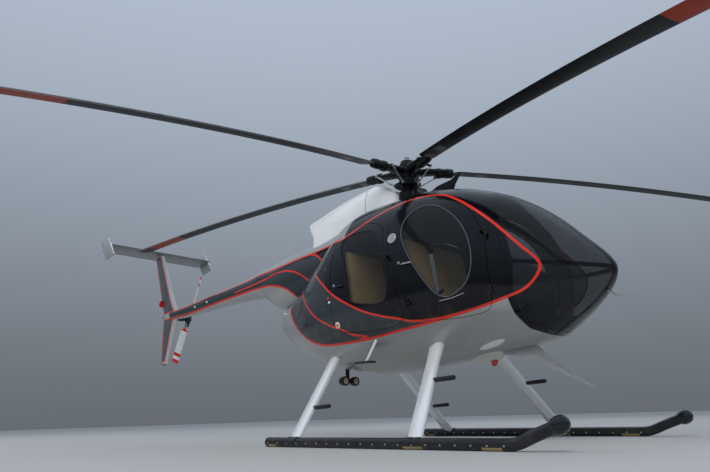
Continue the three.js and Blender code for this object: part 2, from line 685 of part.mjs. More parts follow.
for (let k = 0; k < BLADES; k++) {
  const angle = THREE.MathUtils.degToRad(BLADE_AZIMUTH + 72 * k);
  const lagged = angle + THREE.MathUtils.degToRad(BLADE_LAG);
  const out = V(Math.cos(lagged), Math.sin(lagged), 0);
  const lead = V(-Math.sin(lagged), Math.cos(lagged), 0);
  const hingeAt = V(Math.cos(angle), Math.sin(angle), 0).multiplyScalar(200);
  const feather = THREE.MathUtils.degToRad(
    CYCLIC * Math.cos(angle - THREE.MathUtils.degToRad(CYCLIC_AT)),
  );
  const section = (r, chord, thick) =>
    foil(thick).map(([t, side]) => {
      const ahead = (t + 0.27) * chord;
      const up = side * chord;
      const drop = BLADE_CONE * r + BLADE_DROOP * (r / ROTOR_RADIUS) ** DROOP_POWER;
      return hingeAt
        .clone()
        .addScaledVector(out, r - 200)
        .addScaledVector(lead, ahead * Math.cos(feather) - up * Math.sin(feather))
        .add(V(0, 0, ahead * Math.sin(feather) + up * Math.cos(feather) - drop));
    });
  const spans = [BLADE_ROOT + 60, 1000, 1450, 1950, 2500, 3050, 3550, ROTOR_RADIUS];
  const rootAt = (r, h) => {
    const drop = BLADE_CONE * r + BLADE_DROOP * (r / ROTOR_RADIUS) ** DROOP_POWER;
    return hingeAt.clone().addScaledVector(out, r - 200).add(V(0, 0, h - drop));
  };
  const blade = joined(
    loft(spans.map((r) => section(r, BLADE_CHORD, 0.12))),
    bar(rootAt(BLADE_ROOT - 120, 0), rootAt(BLADE_ROOT + 150, 0), 84, 16, V(0, 0, 1)),
  );
  const socket = hubReach(angle);
  add(`main_blade_${k + 1}`, placed(blade.subtract(socket), toRotor), 0x2a2b2e, rotor);
}
// What the hub's grip takes up, a little larger.
function hubReach(angle) {
  const out = V(Math.cos(angle), Math.sin(angle), 0);
  const at = (r, h) => V(0, 0, h).addScaledVector(out, r);
  return rod(at(300, -2), at(BLADE_ROOT - 90 + GAP, -5), 46 + GAP, 12, 38 + GAP);
}

// Landing gear
function strut(leg) {
  const foot = V(leg.foot, -TRACK, SKID_R);
  const belly = V(leg.top.x, -leg.top.y, leg.top.z);
  const along = V(0, 0, 0).subVectors(belly, foot).multiplyScalar(1.25);
  const ring = (share, chord, thick) => {
    const centre = foot.clone().addScaledVector(along, share);
    const across = V(0, along.z, -along.y).normalize();
    return foil(thick / chord).map(([t, side]) =>
      centre.clone().add(V((t + 0.45) * chord, 0, 0)).addScaledVector(across, side * chord),
    );
  };
  const stepAt = foot.clone().addScaledVector(along, leg.step);
  const body = joined(
    loft([ring(0, 132, 50), ring(0.1, 130, 50), ring(0.72, 128, 56), ring(1, 172, 88)]),
    rod(V(leg.foot - 75, -TRACK, SKID_R), V(leg.foot + 75, -TRACK, SKID_R), SKID_R + 9, 18),
    rod(stepAt, stepAt.clone().add(V(245, 0, 12)), 19, 12),
  );
  const cut = rod(V(leg.foot - 300, -TRACK, SKID_R), V(leg.foot + 300, -TRACK, SKID_R), SKID_R + GAP, 18);
  const ground = box(-2000, 3000, -2000, 2000, -200, 0);
  return body.subtract(cut).subtract(ground).subtract(keepOff);
}
for (const leg of LEGS) {
  const made = strut(leg);
  add(`leg_${leg.name}_right`, made, 0xc3c6c8);
  add(`leg_${leg.name}_left`, mirrored(made), 0xc3c6c8);
}
const skidStraight = rod(V(SKID_REAR_X, -TRACK, SKID_R), V(1630, -TRACK, SKID_R), SKID_R, 18);
const skidNose = tube(
  [
    V(1615, -TRACK, SKID_R), V(1665, -TRACK, SKID_R + 3), V(1720, -TRACK, SKID_R + 16),
    V(1800, -TRACK, SKID_R + 49), V(1975, -TRACK, SKID_R + 112),
  ],
  SKID_R - 0.5, 14, 6,
);
const skid = joined(skidStraight, skidNose, ball(V(1990, -TRACK, SKID_R + 119), 56));
add("skid_right", skid, 0x26272a);
add("skid_left", mirrored(skid), 0x26272a);

// Fittings
const LOWER_CUTTER = [[1310, 745], [1350, 700], [1730, 400], [1702, 402], [1240, 640], [960, 700], [950, 760]];
add("lower_wire_cutter", prism(LOWER_CUTTER, -4, 4).subtract(keepOff), 0xb4b7ba);
const UPPER_CUTTER = [[478, 2200], [515, 2330], [696, 2422], [714, 2410], [636, 2325], [778, 2200]];
add("upper_wire_cutter", prism(UPPER_CUTTER, -5, 5).subtract(keepOff), 0x17181a);
const lamps = joined(
  rod(V(-700, -211, 560), V(-610, -211, 560), 50, 20),
  rod(V(-700, -105, 560), V(-610, -105, 560), 50, 20),
  box(-690, -660, -211, -105, 548, 572),
  rod(V(-675, -158, 560), V(-675, -158, 800), 20, 12),
);
add("landing_lights", lamps.subtract(keepOff), 0x2b2c2e);
const step = joined(
  rod(V(110, -540, 960), V(-40, -604, 690), 14, 12),
  box(-130, 60, -650, -560, 676, 692),
);
add("side_step_right", step.subtract(keepOff), 0xb9bcbe);

export default helicopter;
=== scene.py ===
"""Looks of a light five-blade turbine helicopter parked on its skids.

Metres, nose along +X, port along +Y. Tables are in metres from the cabin's own datum,
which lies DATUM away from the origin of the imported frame.
"""

import logging
import math
from dataclasses import dataclass, field
from enum import Enum
from typing import Iterable, Optional, Sequence, Union

import bpy
import numpy as np
from mathutils import Matrix, Vector


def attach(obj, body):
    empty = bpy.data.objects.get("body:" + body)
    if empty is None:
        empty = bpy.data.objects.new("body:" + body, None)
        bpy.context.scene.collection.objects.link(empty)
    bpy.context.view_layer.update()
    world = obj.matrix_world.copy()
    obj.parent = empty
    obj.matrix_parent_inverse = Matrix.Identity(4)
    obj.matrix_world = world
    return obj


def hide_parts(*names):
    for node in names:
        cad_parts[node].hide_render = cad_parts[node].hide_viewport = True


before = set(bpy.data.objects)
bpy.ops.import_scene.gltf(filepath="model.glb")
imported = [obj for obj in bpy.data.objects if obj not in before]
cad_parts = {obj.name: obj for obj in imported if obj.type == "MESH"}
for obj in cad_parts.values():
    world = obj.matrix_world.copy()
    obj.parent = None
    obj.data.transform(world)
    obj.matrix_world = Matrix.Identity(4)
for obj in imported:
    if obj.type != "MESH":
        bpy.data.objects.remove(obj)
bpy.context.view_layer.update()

LOG = logging.getLogger("helicopter")
DATUM = np.array([0.685, 0.228, 0.0])
Point = Sequence[float]
Outline = Sequence[Sequence[float]]
Piece = bpy.types.Object
RIGHT, LEFT = -1, 1
SIDES = ((RIGHT, "right"), (LEFT, "left"))


class Body(Enum):
    """The rigid bodies that pieces ride on."""

    AIRFRAME = "airframe"
    ROTOR = "main_rotor"
    TAIL_ROTOR = "tail_rotor"
    FRONT_RIGHT = "front_door_right"
    FRONT_LEFT = "front_door_left"
    REAR_RIGHT = "rear_door_right"
    REAR_LEFT = "rear_door_left"


class Slot(Enum):
    """The record's material slots."""

    SILVER = "silver_paint"
    BLACK = "black_paint"
    WHITE = "white_paint"
    SLATE = "slate_paint"
    GLASS = "tinted_glass"
    BLADE = "blade_black"
    ROTOR = "rotor_metal"
    ALLOY = "bare_alloy"
    SKID = "skid_black"
    STEEL = "hot_steel"
    LEATHER = "seat_leather"
    TRIM = "cabin_trim"
    CARPET = "carpet"


# Curves


def unit(direction: Point) -> np.ndarray:
    """Gives a direction the length 1."""
    way = np.array(direction, float)
    return way / np.linalg.norm(way)


def blend(t: np.ndarray, start: float, end: float, first: np.ndarray, second: np.ndarray) -> np.ndarray:
    """Passes from one point to another as t goes from start to end."""
    return (end - t) / (end - start) * first + (t - start) / (end - start) * second


def rounded(outline: Outline, count: int, closed: bool = True) -> np.ndarray:
    """Draws a smooth line through the points of an outline.

    Args:
        outline: The points to pass through.
        count: How many evenly spaced points to return.
        closed: Whether the line comes back to its start.

    Returns:
        The points, evenly spaced by length.
    """
    pts = np.array(outline, float)
    ends = (pts[-1], pts[:2]) if closed else (2 * pts[0] - pts[1], 2 * pts[-1] - pts[-2])
    ring = np.vstack([ends[0], pts, ends[1]])
    dense = []
    for i in range(len(ring) - 3):
        p = ring[i:i + 4]
        knots = np.concatenate([[0.0], np.cumsum(np.sqrt(np.linalg.norm(np.diff(p, axis=0), axis=1)) + 1e-9)])
        t = np.linspace(knots[1], knots[2], 25)[:-1, None]
        a = [blend(t, knots[k], knots[k + 1], p[k], p[k + 1]) for k in range(3)]
        b = [blend(t, knots[k], knots[k + 2], a[k], a[k + 1]) for k in range(2)]
        dense.append(blend(t, knots[1], knots[2], b[0], b[1]))
    line = np.vstack(dense + [pts[:1] if closed else pts[-1:]])
    run = np.concatenate([[0.0], np.cumsum(np.linalg.norm(np.diff(line, axis=0), axis=1))])
    stops = np.linspace(0, run[-1], count + 1)[:-1] if closed else np.linspace(0, run[-1], count)
    return np.stack([np.interp(stops, run, line[:, k]) for k in range(line.shape[1])], axis=1)


def grown(outline: Outline, amount: float) -> np.ndarray:
    """Moves a closed side-view outline outwards, or inwards with a negative amount.

    Args:
        outline: The closed outline, in side view.
        amount: Metres to move it by.

    Returns:
        The new outline.
    """
    pts = np.array(outline, float)
    after, before = np.roll(pts, -1, axis=0), np.roll(pts, 1, axis=0)
    area = np.sum(pts[:, 0] * after[:, 1] - after[:, 0] * pts[:, 1])
    a, b = pts - before, after - pts
    a = np.stack([a[:, 1], -a[:, 0]], 1) / np.linalg.norm(a, axis=1)[:, None]
    b = np.stack([b[:, 1], -b[:, 0]], 1) / np.linalg.norm(b, axis=1)[:, None]
    reach = amount * np.sign(area) / (1 + np.sum(a * b, axis=1))
    return pts + (a + b) * reach[:, None]


def signed_distance(points: np.ndarray, outline: np.ndarray) -> np.ndarray:
    """Measures how far points lie inside a closed outline.

    Args:
        points: Places in side view.
        outline: The closed outline.

    Returns:
        Metres to the outline, above zero inside it.
    """
    nearest = np.full(len(points), 9.0)
    inside = np.zeros(len(points), bool)
    for a, b in zip(outline, np.roll(outline, -1, axis=0)):
        along = b - a
        share = np.clip(((points - a) @ along) / (along @ along + 1e-12), 0, 1)
        nearest = np.minimum(nearest, np.hypot(*(points - a - share[:, None] * along).T))
        spans = (a[1] > points[:, 1]) != (b[1] > points[:, 1])
        cross = a[0] + (points[:, 1] - a[1]) * along[0] / (along[1] + 1e-12)
        inside ^= spans & (points[:, 0] < cross)
    return np.where(inside, nearest, -nearest)


def power(values: np.ndarray, exponent: float) -> np.ndarray:
    """Raises numbers to a power and keeps their signs."""
    return np.sign(values) * np.abs(values) ** exponent


def wheel(degrees: float) -> tuple[float, float]:
    """Gives the cosine and sine of an angle."""
    return math.cos(math.radians(degrees)), math.sin(math.radians(degrees))


def station(table: Outline, x: float) -> list[float]:
    """Reads the columns of a table, whose stations run towards the tail, at one station."""
    stops, *columns = zip(*table)
    return [float(np.interp(-x, [-stop for stop in stops], column)) for column in columns]


def foil(thick: float, count: int) -> np.ndarray:
    """Gives a streamlined section of unit chord, its nose at 0 and its tail at -1.

    Args:
        thick: Greatest thickness as a share of the chord.
        count: Points on each side.

    Returns:
        The closed section.
    """
    t = (1 - np.cos(np.linspace(0, math.pi, count))) / 2
    half = thick * (1.48 * np.sqrt(t) - 0.63 * t - 1.76 * t**2 + 1.42 * t**3 - 0.51 * t**4)
    half = np.maximum(half, np.where(t > 0.5, 0.02 * thick, 0))
    upper = np.stack([-t, half], 1)
    lower = np.stack([-t[::-1], -half[::-1]], 1)
    return np.vstack([upper, lower[:-1]])


# Mesh work


class Former:
    """Shapes pieces with Blender's own mesh operators."""

    @staticmethod
    def clear() -> None:
        """Leaves edit mode and selects nothing."""
        if bpy.context.object and bpy.context.object.mode != "OBJECT":
            bpy.ops.object.mode_set(mode="OBJECT")
        bpy.ops.object.select_all(action="DESELECT")

    @classmethod
    def pick(cls, *pieces: Piece) -> None:
        """Selects just these pieces, the first of them active.

        Args:
            pieces: The pieces.
        """
        cls.clear()
        for piece in pieces:
            piece.select_set(True)
        bpy.context.view_layer.objects.active = pieces[0]

    @staticmethod
    def named(name: str) -> Piece:
        """Names the piece just made."""
        bpy.context.object.name = name
        return bpy.context.object

    @staticmethod
    def spots(piece: Piece) -> np.ndarray:
        """Gives the places of a piece's points, from the datum.

        Args:
            piece: The piece.

        Returns:
            One row for each point.
        """
        places = np.empty(len(piece.data.vertices) * 3)
        piece.data.vertices.foreach_get("co", places)
        return places.reshape(-1, 3) - DATUM

    @staticmethod
    def store(piece: Piece, name: str, values: np.ndarray) -> None:
        """Stores a number at each of a piece's points."""
        piece.data.attributes.new(name, "FLOAT", "POINT").data.foreach_set("value", values)

    @classmethod
    def settle(cls, piece: Piece) -> Piece:
        """Puts a piece's place, turn and size into its mesh.

        Args:
            piece: The piece.

        Returns:
            The piece.
        """
        cls.pick(piece)
        bpy.ops.object.transform_apply(location=True, rotation=True, scale=True)
        return piece

    @classmethod
    def sheath(cls, name: str, rings: Sequence, capped: bool = True) -> Piece:
        """Lays a grid through rings of points, from one end of a form to the other.

        Args:
            name: The piece's name.
            rings: Closed rings of equally many points, from the datum.
            capped: Whether the open ends are filled.

        Returns:
            The closed piece.
        """
        rings = np.asarray(rings, float)
        rings = np.concatenate([rings, rings[:, :1]], axis=1)
        rows, columns = rings.shape[:2]
        cls.clear()
        bpy.ops.mesh.primitive_grid_add(x_subdivisions=columns - 1, y_subdivisions=rows - 1, size=1)
        piece = cls.named(name)
        piece.data.vertices.foreach_set("co", (rings + DATUM).ravel())
        bpy.ops.object.mode_set(mode="EDIT")
        bpy.ops.mesh.select_all(action="SELECT")
        bpy.ops.mesh.remove_doubles(threshold=2e-5)
        if capped:
            bpy.ops.mesh.fill_holes(sides=0)
            bpy.ops.mesh.select_all(action="SELECT")
        bpy.ops.mesh.normals_make_consistent(inside=False)
        bpy.ops.object.mode_set(mode="OBJECT")
        return cls.settle(piece)

    @classmethod
    def prism(cls, name: str, outline: Outline, y0: float, y1: float) -> Piece:
        """Extrudes a side-view outline across the aircraft.

        Args:
            name: The piece's name.
            outline: The closed outline, in side view.
            y0: Where it starts across the aircraft.
            y1: Where it ends.

        Returns:
            The piece.
        """
        outline = np.array(outline, float)
        cls.clear()
        bpy.ops.mesh.primitive_circle_add(vertices=len(outline), radius=1, fill_type="NGON")
        piece = cls.named(name)
        flat = np.stack([outline[:, 0], np.full(len(outline), y0), outline[:, 1]], 1) + DATUM
        piece.data.vertices.foreach_set("co", flat.ravel())
        bpy.ops.object.mode_set(mode="EDIT")
        bpy.ops.mesh.select_all(action="SELECT")
        bpy.ops.mesh.extrude_region_move(TRANSFORM_OT_translate={"value": (0, y1 - y0, 0)})
        bpy.ops.mesh.select_all(action="SELECT")
        bpy.ops.mesh.normals_make_consistent(inside=False)
        bpy.ops.object.mode_set(mode="OBJECT")
        return cls.settle(piece)

    @classmethod
    def bar(cls, name: str, start: Point, end: Point, radius: float, far: Optional[float] = None,
            sides: int = 24, edge: float = 0.0) -> Piece:
        """Makes a round bar or cone between two places.

        Args:
            name: The piece's name.
            start: One end, from the datum.
            end: The other end.
            radius: Radius at the start.
            far: Radius at the end, the same if left out.
            sides: Number of sides.
            edge: Rounding of the end edges.

        Returns:
            The bar.
        """
        a, b = Vector(np.array(start, float) + DATUM), Vector(np.array(end, float) + DATUM)
        cls.clear()
        bpy.ops.mesh.primitive_cone_add(
            vertices=sides, radius1=radius, radius2=radius if far is None else far, depth=(b - a).length,
            location=(a + b) / 2, rotation=(b - a).to_track_quat("Z", "Y").to_euler(),
        )
        piece = cls.named(name)
        cls.settle(piece)
        if edge:
            cls.soften(piece, edge)
        return piece

    @classmethod
    def block(cls, name: str, low: Point, high: Point, edge: float) -> Piece:
        """Makes a block with rounded edges between two corners.

        Args:
            name: The piece's name.
            low: One corner, from the datum.
            high: The opposite corner.
            edge: Rounding of its edges.

        Returns:
            The piece.
        """
        a, b = np.array(low, float) + DATUM, np.array(high, float) + DATUM
        cls.clear()
        bpy.ops.mesh.primitive_cube_add(size=1, location=(a + b) / 2)
        piece = cls.named(name)
        piece.scale = np.abs(b - a)
        cls.settle(piece)
        if edge:
            cls.soften(piece, edge)
        return piece

    @classmethod
    def knuckle(cls, name: str, centre: Point, axis: Point, radius: float) -> Piece:
        """Makes a rod end: a banded bearing with a bolt head on either side.

        Args:
            name: The piece's name.
            centre: Its middle, from the datum.
            axis: The bolt's direction.
            radius: The band's radius.

        Returns:
            The piece.
        """
        way, r = unit(axis), radius
        return cls.lathe(name, np.array(centre) - way * r * 1.2, way, [
            (0, 0), (0, 0.45 * r), (0.35 * r, 0.5 * r), (0.4 * r, 0.85 * r), (0.8 * r, r), (1.6 * r, r),
            (2.0 * r, 0.85 * r), (2.05 * r, 0.5 * r), (2.4 * r, 0.45 * r), (2.4 * r, 0)], 24)

    @classmethod
    def rod(cls, name: str, start: Point, end: Point, radius: float) -> Piece:
        """Makes a control rod with swaged ends.

        Args:
            name: The piece's name.
            start: One end, from the datum.
            end: The other end.
            radius: Its radius.

        Returns:
            The piece.
        """
        way = np.array(end) - np.array(start)
        long, r = float(np.linalg.norm(way)), radius
        return cls.lathe(name, start, way, [
            (0, 0), (0, 0.75 * r), (0.14 * long, 0.75 * r), (0.15 * long, 1.25 * r),
            (0.2 * long, 1.25 * r), (0.24 * long, r), (0.76 * long, r), (0.8 * long, 1.25 * r),
            (0.85 * long, 1.25 * r), (0.86 * long, 0.75 * r), (long, 0.75 * r), (long, 0)], 20)

    @classmethod
    def lens(cls, name: str, centre: Point, out: Point, radius: float) -> Piece:
        """Makes a small lamp: a flanged base and a domed lens.

        Args:
            name: The piece's name.
            centre: Where its base stands, from the datum.
            out: The way it faces.
            radius: Its radius.

        Returns:
            The piece.
        """
        r = radius
        return cls.lathe(name, centre, out, [
            (0, 0), (0, 1.15 * r), (0.25 * r, 1.15 * r), (0.32 * r, r), (0.8 * r, 0.95 * r),
            (1.2 * r, 0.7 * r), (1.4 * r, 0.35 * r), (1.46 * r, 0)], 28)

    @classmethod
    def pipe(cls, name: str, path: Outline, radius: Union[float, Sequence[float]], sides: int = 16,
             closed: bool = False, flat: float = 1.0) -> Piece:
        """Sweeps a round or flattened section along a path.

        Args:
            name: The piece's name.
            path: Places to pass through, from the datum.
            radius: One radius, or one for each place.
            sides: Number of sides.
            closed: Whether the path comes back to its start.
            flat: Height of the section as a share of its width.

        Returns:
            The pipe, with filled ends.
        """
        pts = np.array(path, float)
        radii = np.broadcast_to(np.array(radius, float), (len(pts),))
        ahead = np.gradient(pts, axis=0)
        if closed:
            ahead = np.roll(pts, -1, axis=0) - np.roll(pts, 1, axis=0)
        ahead /= np.linalg.norm(ahead, axis=1)[:, None]
        up = np.array([0.0, 0.0, 1.0]) if abs(ahead[0][2]) < 0.9 else np.array([1.0, 0.0, 0.0])
        rings = []
        angle = np.linspace(0, 2 * math.pi, sides, endpoint=False)
        for place, way, r in zip(pts, ahead, radii):
            up = unit(up - way * (up @ way))
            side = np.cross(way, up)
            rings.append(place + r * (np.cos(angle)[:, None] * side + flat * np.sin(angle)[:, None] * up))
        rings = np.array(rings)
        if closed:
            rings = np.concatenate([rings, rings[:1]])
        return cls.sheath(name, rings, capped=not closed)

    @classmethod
    def lathe(cls, name: str, origin: Point, axis: Point, profile: Outline, sides: int = 36) -> Piece:
        """Turns a profile about an axis.

        Args:
            name: The piece's name.
            origin: Where the axis starts, from the datum.
            axis: Its direction.
            profile: Pairs of height along the axis and radius.
            sides: Number of sides.

        Returns:
            The closed piece.
        """
        way = unit(axis)
        side = unit(np.cross(way, [0.0, 0.0, 1.0] if abs(way[2]) < 0.9 else [1.0, 0.0, 0.0]))
        other = np.cross(way, side)
        angle = np.linspace(0, math.tau, sides, endpoint=False)
        ring = np.cos(angle)[:, None] * side + np.sin(angle)[:, None] * other
        return cls.sheath(name, np.array([np.array(origin, float) + way * h + ring * r for h, r in profile]))

    @classmethod
    def change(cls, piece: Piece, kind: str, **settings: object) -> Piece:
        """Applies one modifier to a piece.

        Args:
            piece: The piece.
            kind: The modifier's type.
            settings: Its settings.

        Returns:
            The piece.
        """
        modifier = piece.modifiers.new("change", kind)
        for key, value in settings.items():
            setattr(modifier, key, value)
        cls.pick(piece)
        bpy.ops.object.modifier_apply(modifier=modifier.name)
        return piece

    @classmethod
    def cut(cls, piece: Piece, tool: Piece, how: str = "DIFFERENCE",
            keep: bool = False) -> Piece:
        """Cuts, joins or crosses a piece with a tool, and drops the tool unless it is kept.

        Args:
            piece: The piece.
            tool: What cuts it.
            how: DIFFERENCE, UNION or INTERSECT.
            keep: Whether the tool stays.

        Returns:
            The piece.
        """
        cls.change(piece, "BOOLEAN", operation=how, solver="EXACT", object=tool)
        if not keep:
            bpy.data.objects.remove(tool)
        return piece

    @classmethod
    def soften(cls, piece: Piece, width: float) -> Piece:
        """Rounds a piece's sharp edges."""
        return cls.change(piece, "BEVEL", width=width, segments=2, limit_method="ANGLE",
                          angle_limit=math.radians(35))

    @classmethod
    def thicken(cls, piece: Piece, wall: float) -> Piece:
        """Gives a surface a wall on its inner side."""
        return cls.change(piece, "SOLIDIFY", thickness=wall, offset=-1)

    @classmethod
    def copy(cls, piece: Piece, name: str) -> Piece:
        """Copies a piece with its own mesh.

        Args:
            piece: The piece.
            name: The copy's name.

        Returns:
            The copy.
        """
        twin = piece.copy()
        twin.data = piece.data.copy()
        twin.name = name
        bpy.context.collection.objects.link(twin)
        return twin

    @classmethod
    def crop(cls, piece: Piece, rear: float, front: float) -> Piece:
        """Keeps the part of a piece between two stations."""
        outline = [(rear, 0.1), (front, 0.1), (front, 3.2), (rear, 3.2)]
        return cls.cut(piece, cls.prism("tool", outline, -1.2, 1.2), "INTERSECT")

    @classmethod
    def flipped(cls, piece: Piece) -> Piece:
        """Copies a piece of the right side to the left one, and its name with it.

        Args:
            piece: The piece.

        Returns:
            The copy.
        """
        twin = cls.copy(piece, piece.name.replace("right", "left"))
        twin.data.transform(Matrix.Translation((0, 2 * DATUM[1], 0)) @ Matrix.Scale(-1, 4, (0, 1, 0)))
        twin.data.flip_normals()
        return twin

    @classmethod
    def merged(cls, name: str, *pieces: Piece) -> Piece:
        """Joins pieces into one.

        Args:
            name: The piece's name.
            pieces: The pieces.

        Returns:
            The piece.
        """
        cls.pick(*pieces)
        bpy.ops.object.join()
        pieces[0].name = name
        return pieces[0]

    @classmethod
    def smooth(cls, piece: Piece, degrees: float) -> Piece:
        """Shades a piece smooth except across sharp edges.

        Args:
            piece: The piece.
            degrees: Sharpest angle that is shaded smooth.

        Returns:
            The piece.
        """
        cls.pick(piece)
        bpy.ops.object.shade_smooth_by_angle(angle=math.radians(degrees))
        return piece


# Materials


class Value:
    """A number that varies over a surface, with plain arithmetic."""

    def __init__(self, nodes: "Nodes", socket: bpy.types.NodeSocket) -> None:
        """Wraps a socket of a node tree."""
        self.nodes, self.socket = nodes, socket

    def _sum(self, operation: str, first: object, second: object) -> "Value":
        """Adds a Math node."""
        node = self.nodes.add("ShaderNodeMath", {"operation": operation}, {0: first, 1: second})
        return Value(self.nodes, node.outputs[0])

    def __add__(self, other: object) -> "Value":
        """Adds."""
        return self._sum("ADD", self, other)

    def __sub__(self, other: object) -> "Value":
        """Subtracts."""
        return self._sum("SUBTRACT", self, other)

    def __rsub__(self, other: object) -> "Value":
        """Subtracts from a number."""
        return self._sum("SUBTRACT", other, self)

    def __mul__(self, other: object) -> "Value":
        """Multiplies."""
        return self._sum("MULTIPLY", self, other)

    def __abs__(self) -> "Value":
        """Drops the sign."""
        return self._sum("ABSOLUTE", self, 0.0)

    __radd__, __rmul__ = __add__, __mul__

    def above(self, edge: float, blur: float = 0.001) -> "Value":
        """Goes from 0 to 1 as the value passes an edge.

        Args:
            edge: Where the mask is at one half.
            blur: Half width of its soft edge.

        Returns:
            The mask.
        """
        node = self.nodes.add("ShaderNodeMapRange", {"interpolation_type": "SMOOTHSTEP"},
                              {"Value": self, "From Min": edge - blur, "From Max": edge + blur})
        return Value(self.nodes, node.outputs[0])

    def below(self, edge: float, blur: float = 0.001) -> "Value":
        """Goes from 1 to 0 as the value passes an edge."""
        return 1.0 - self.above(edge, blur)

    def most(self, other: object) -> "Value":
        """Takes the greater of two."""
        return self._sum("MAXIMUM", self, other)


Colour = tuple[float, float, float]
RED = (0.72, 0.035, 0.02)


class Nodes:
    """Builds one material's nodes."""

    def __init__(self, name: str, tree: Optional[bpy.types.NodeTree] = None) -> None:
        """Starts an empty material, or empties the tree given.

        Args:
            name: The material's name.
            tree: A world's tree, if that is what is built.
        """
        self.material = None if tree else bpy.data.materials.new(name)
        if self.material:
            self.material.use_nodes = True
        self.tree = tree or self.material.node_tree
        self.tree.nodes.clear()
        self.places: dict[str, Value] = {}

    def add(self, kind: str, settings: Optional[dict] = None,
            sockets: Optional[dict] = None) -> bpy.types.Node:
        """Adds a node.

        Args:
            kind: The node's type.
            settings: Its properties, set first.
            sockets: Values or links of its inputs, by name or number.

        Returns:
            The node.
        """
        node = self.tree.nodes.new(kind)
        for key, value in (settings or {}).items():
            setattr(node, key, value)
        for key, value in (sockets or {}).items():
            self.feed(node.inputs[key], value)
        return node

    def feed(self, socket: bpy.types.NodeSocket, value: object) -> None:
        """Sets a socket to a constant, or links it.

        Args:
            socket: The input.
            value: What it gets.
        """
        if isinstance(value, Value):
            self.tree.links.new(value.socket, socket)
        elif isinstance(value, bpy.types.NodeSocket):
            self.tree.links.new(value, socket)
        elif isinstance(value, (tuple, list)) and socket.type == "RGBA":
            socket.default_value = (*value[:3], 1.0)
        else:
            socket.default_value = value

    def place(self, axis: str) -> Value:
        """Gives the X, Y or Z of a point on the piece.

        Args:
            axis: X, Y or Z.

        Returns:
            The coordinate.
        """
        if not self.places:
            where = self.add("ShaderNodeTexCoord")
            parts = self.add("ShaderNodeSeparateXYZ", None, {0: where.outputs["Object"]})
            self.places = {key: Value(self, parts.outputs[key]) for key in "XYZ"}
            self.object_place = where.outputs["Object"]
        return self.places[axis]

    def noise(self, scale: float, detail: float = 3.0, stretch: Colour = (1, 1, 1)) -> Value:
        """Gives even noise from 0 to 1 over the piece.

        Args:
            scale: Patches a metre.
            detail: Finer layers.
            stretch: Scale along each axis.

        Returns:
            The number.
        """
        self.place("X")
        where = self.add("ShaderNodeMapping", None, {"Vector": self.object_place, "Scale": stretch})
        sockets = {"Vector": where.outputs[0], "Scale": scale, "Detail": detail}
        return Value(self, self.add("ShaderNodeTexNoise", None, sockets).outputs[0])

    def cells(self, scale: float) -> Value:
        """Gives the distance to the nearest of many scattered points.

        Args:
            scale: Cells a metre.

        Returns:
            The number.
        """
        self.place("X")
        node = self.add("ShaderNodeTexVoronoi", None, {"Vector": self.object_place, "Scale": scale})
        return Value(self, node.outputs["Distance"])

    def reading(self, name: str) -> Value:
        """Reads a number stored on the piece's points."""
        return Value(self, self.add("ShaderNodeAttribute", {"attribute_name": name}).outputs["Fac"])

    def mix(self, share: object, first: object, second: object) -> bpy.types.NodeSocket:
        """Mixes two colours."""
        node = self.add("ShaderNodeMix", {"data_type": "RGBA"}, {0: share, 6: first, 7: second})
        return node.outputs[2]

    def bump(self, height: Value, depth: float) -> bpy.types.NodeSocket:
        """Turns a height into a normal."""
        node = self.add("ShaderNodeBump", None, {"Height": height, "Distance": depth, "Strength": 1.0})
        return node.outputs[0]

    def done(self, sockets: dict) -> bpy.types.Material:
        """Ends the tree in a surface shader with these inputs.

        Args:
            sockets: Inputs by name.

        Returns:
            The material.
        """
        skin = self.add("ShaderNodeBsdfPrincipled", None, sockets)
        self.add("ShaderNodeOutputMaterial", None, {"Surface": skin.outputs[0]})
        return self.material


@dataclass(frozen=True)
class Finish:
    """A surface of one colour with the small unevenness that a real one has.

    Attributes:
        name: The material's name.
        colour: Its colour.
        rough: Roughness.
        metal: How metallic it is.
        coat: Weight of the clear coat.
        mottle: How much the colour varies.
        patch: How many patches a metre.
        grain: Depth of the fine relief in metres.
        pitch: How many grains a metre.
        dust: Share of dust gathered in patches.
        stretch: How the patches are drawn out.
        gleam: How much light the bare surface throws back.
    """

    name: str
    colour: Colour
    rough: float = 0.4
    metal: float = 0.0
    coat: float = 0.0
    mottle: float = 0.12
    patch: float = 6.0
    grain: float = 0.0
    pitch: float = 400.0
    dust: float = 0.0
    stretch: Colour = (1, 1, 1)
    gleam: float = 0.5

    def make(self) -> bpy.types.Material:
        """Builds the material.

        Returns:
            The material.
        """
        n = Nodes(self.name)
        patch = n.noise(self.patch, 4.0, self.stretch)
        darker = tuple(c * (1 - self.mottle) for c in self.colour)
        lighter = tuple(min(1.0, c * (1 + self.mottle)) for c in self.colour)
        colour = n.mix(patch, darker, lighter)
        if self.dust:
            colour = n.mix(n.noise(self.patch * 2.7, 6.0).above(0.6, 0.2) * self.dust, colour,
                           (0.35, 0.32, 0.28))
        sockets = {
            "Base Color": colour,
            "Roughness": patch * 0.16 + (self.rough - 0.08),
            "Metallic": self.metal,
            "Coat Weight": self.coat,
            "Coat Roughness": 0.04,
            "Specular IOR Level": self.gleam,
        }
        if self.grain:
            sockets["Normal"] = n.bump(n.noise(self.pitch, 2.0, self.stretch), self.grain)
        return n.done(sockets)


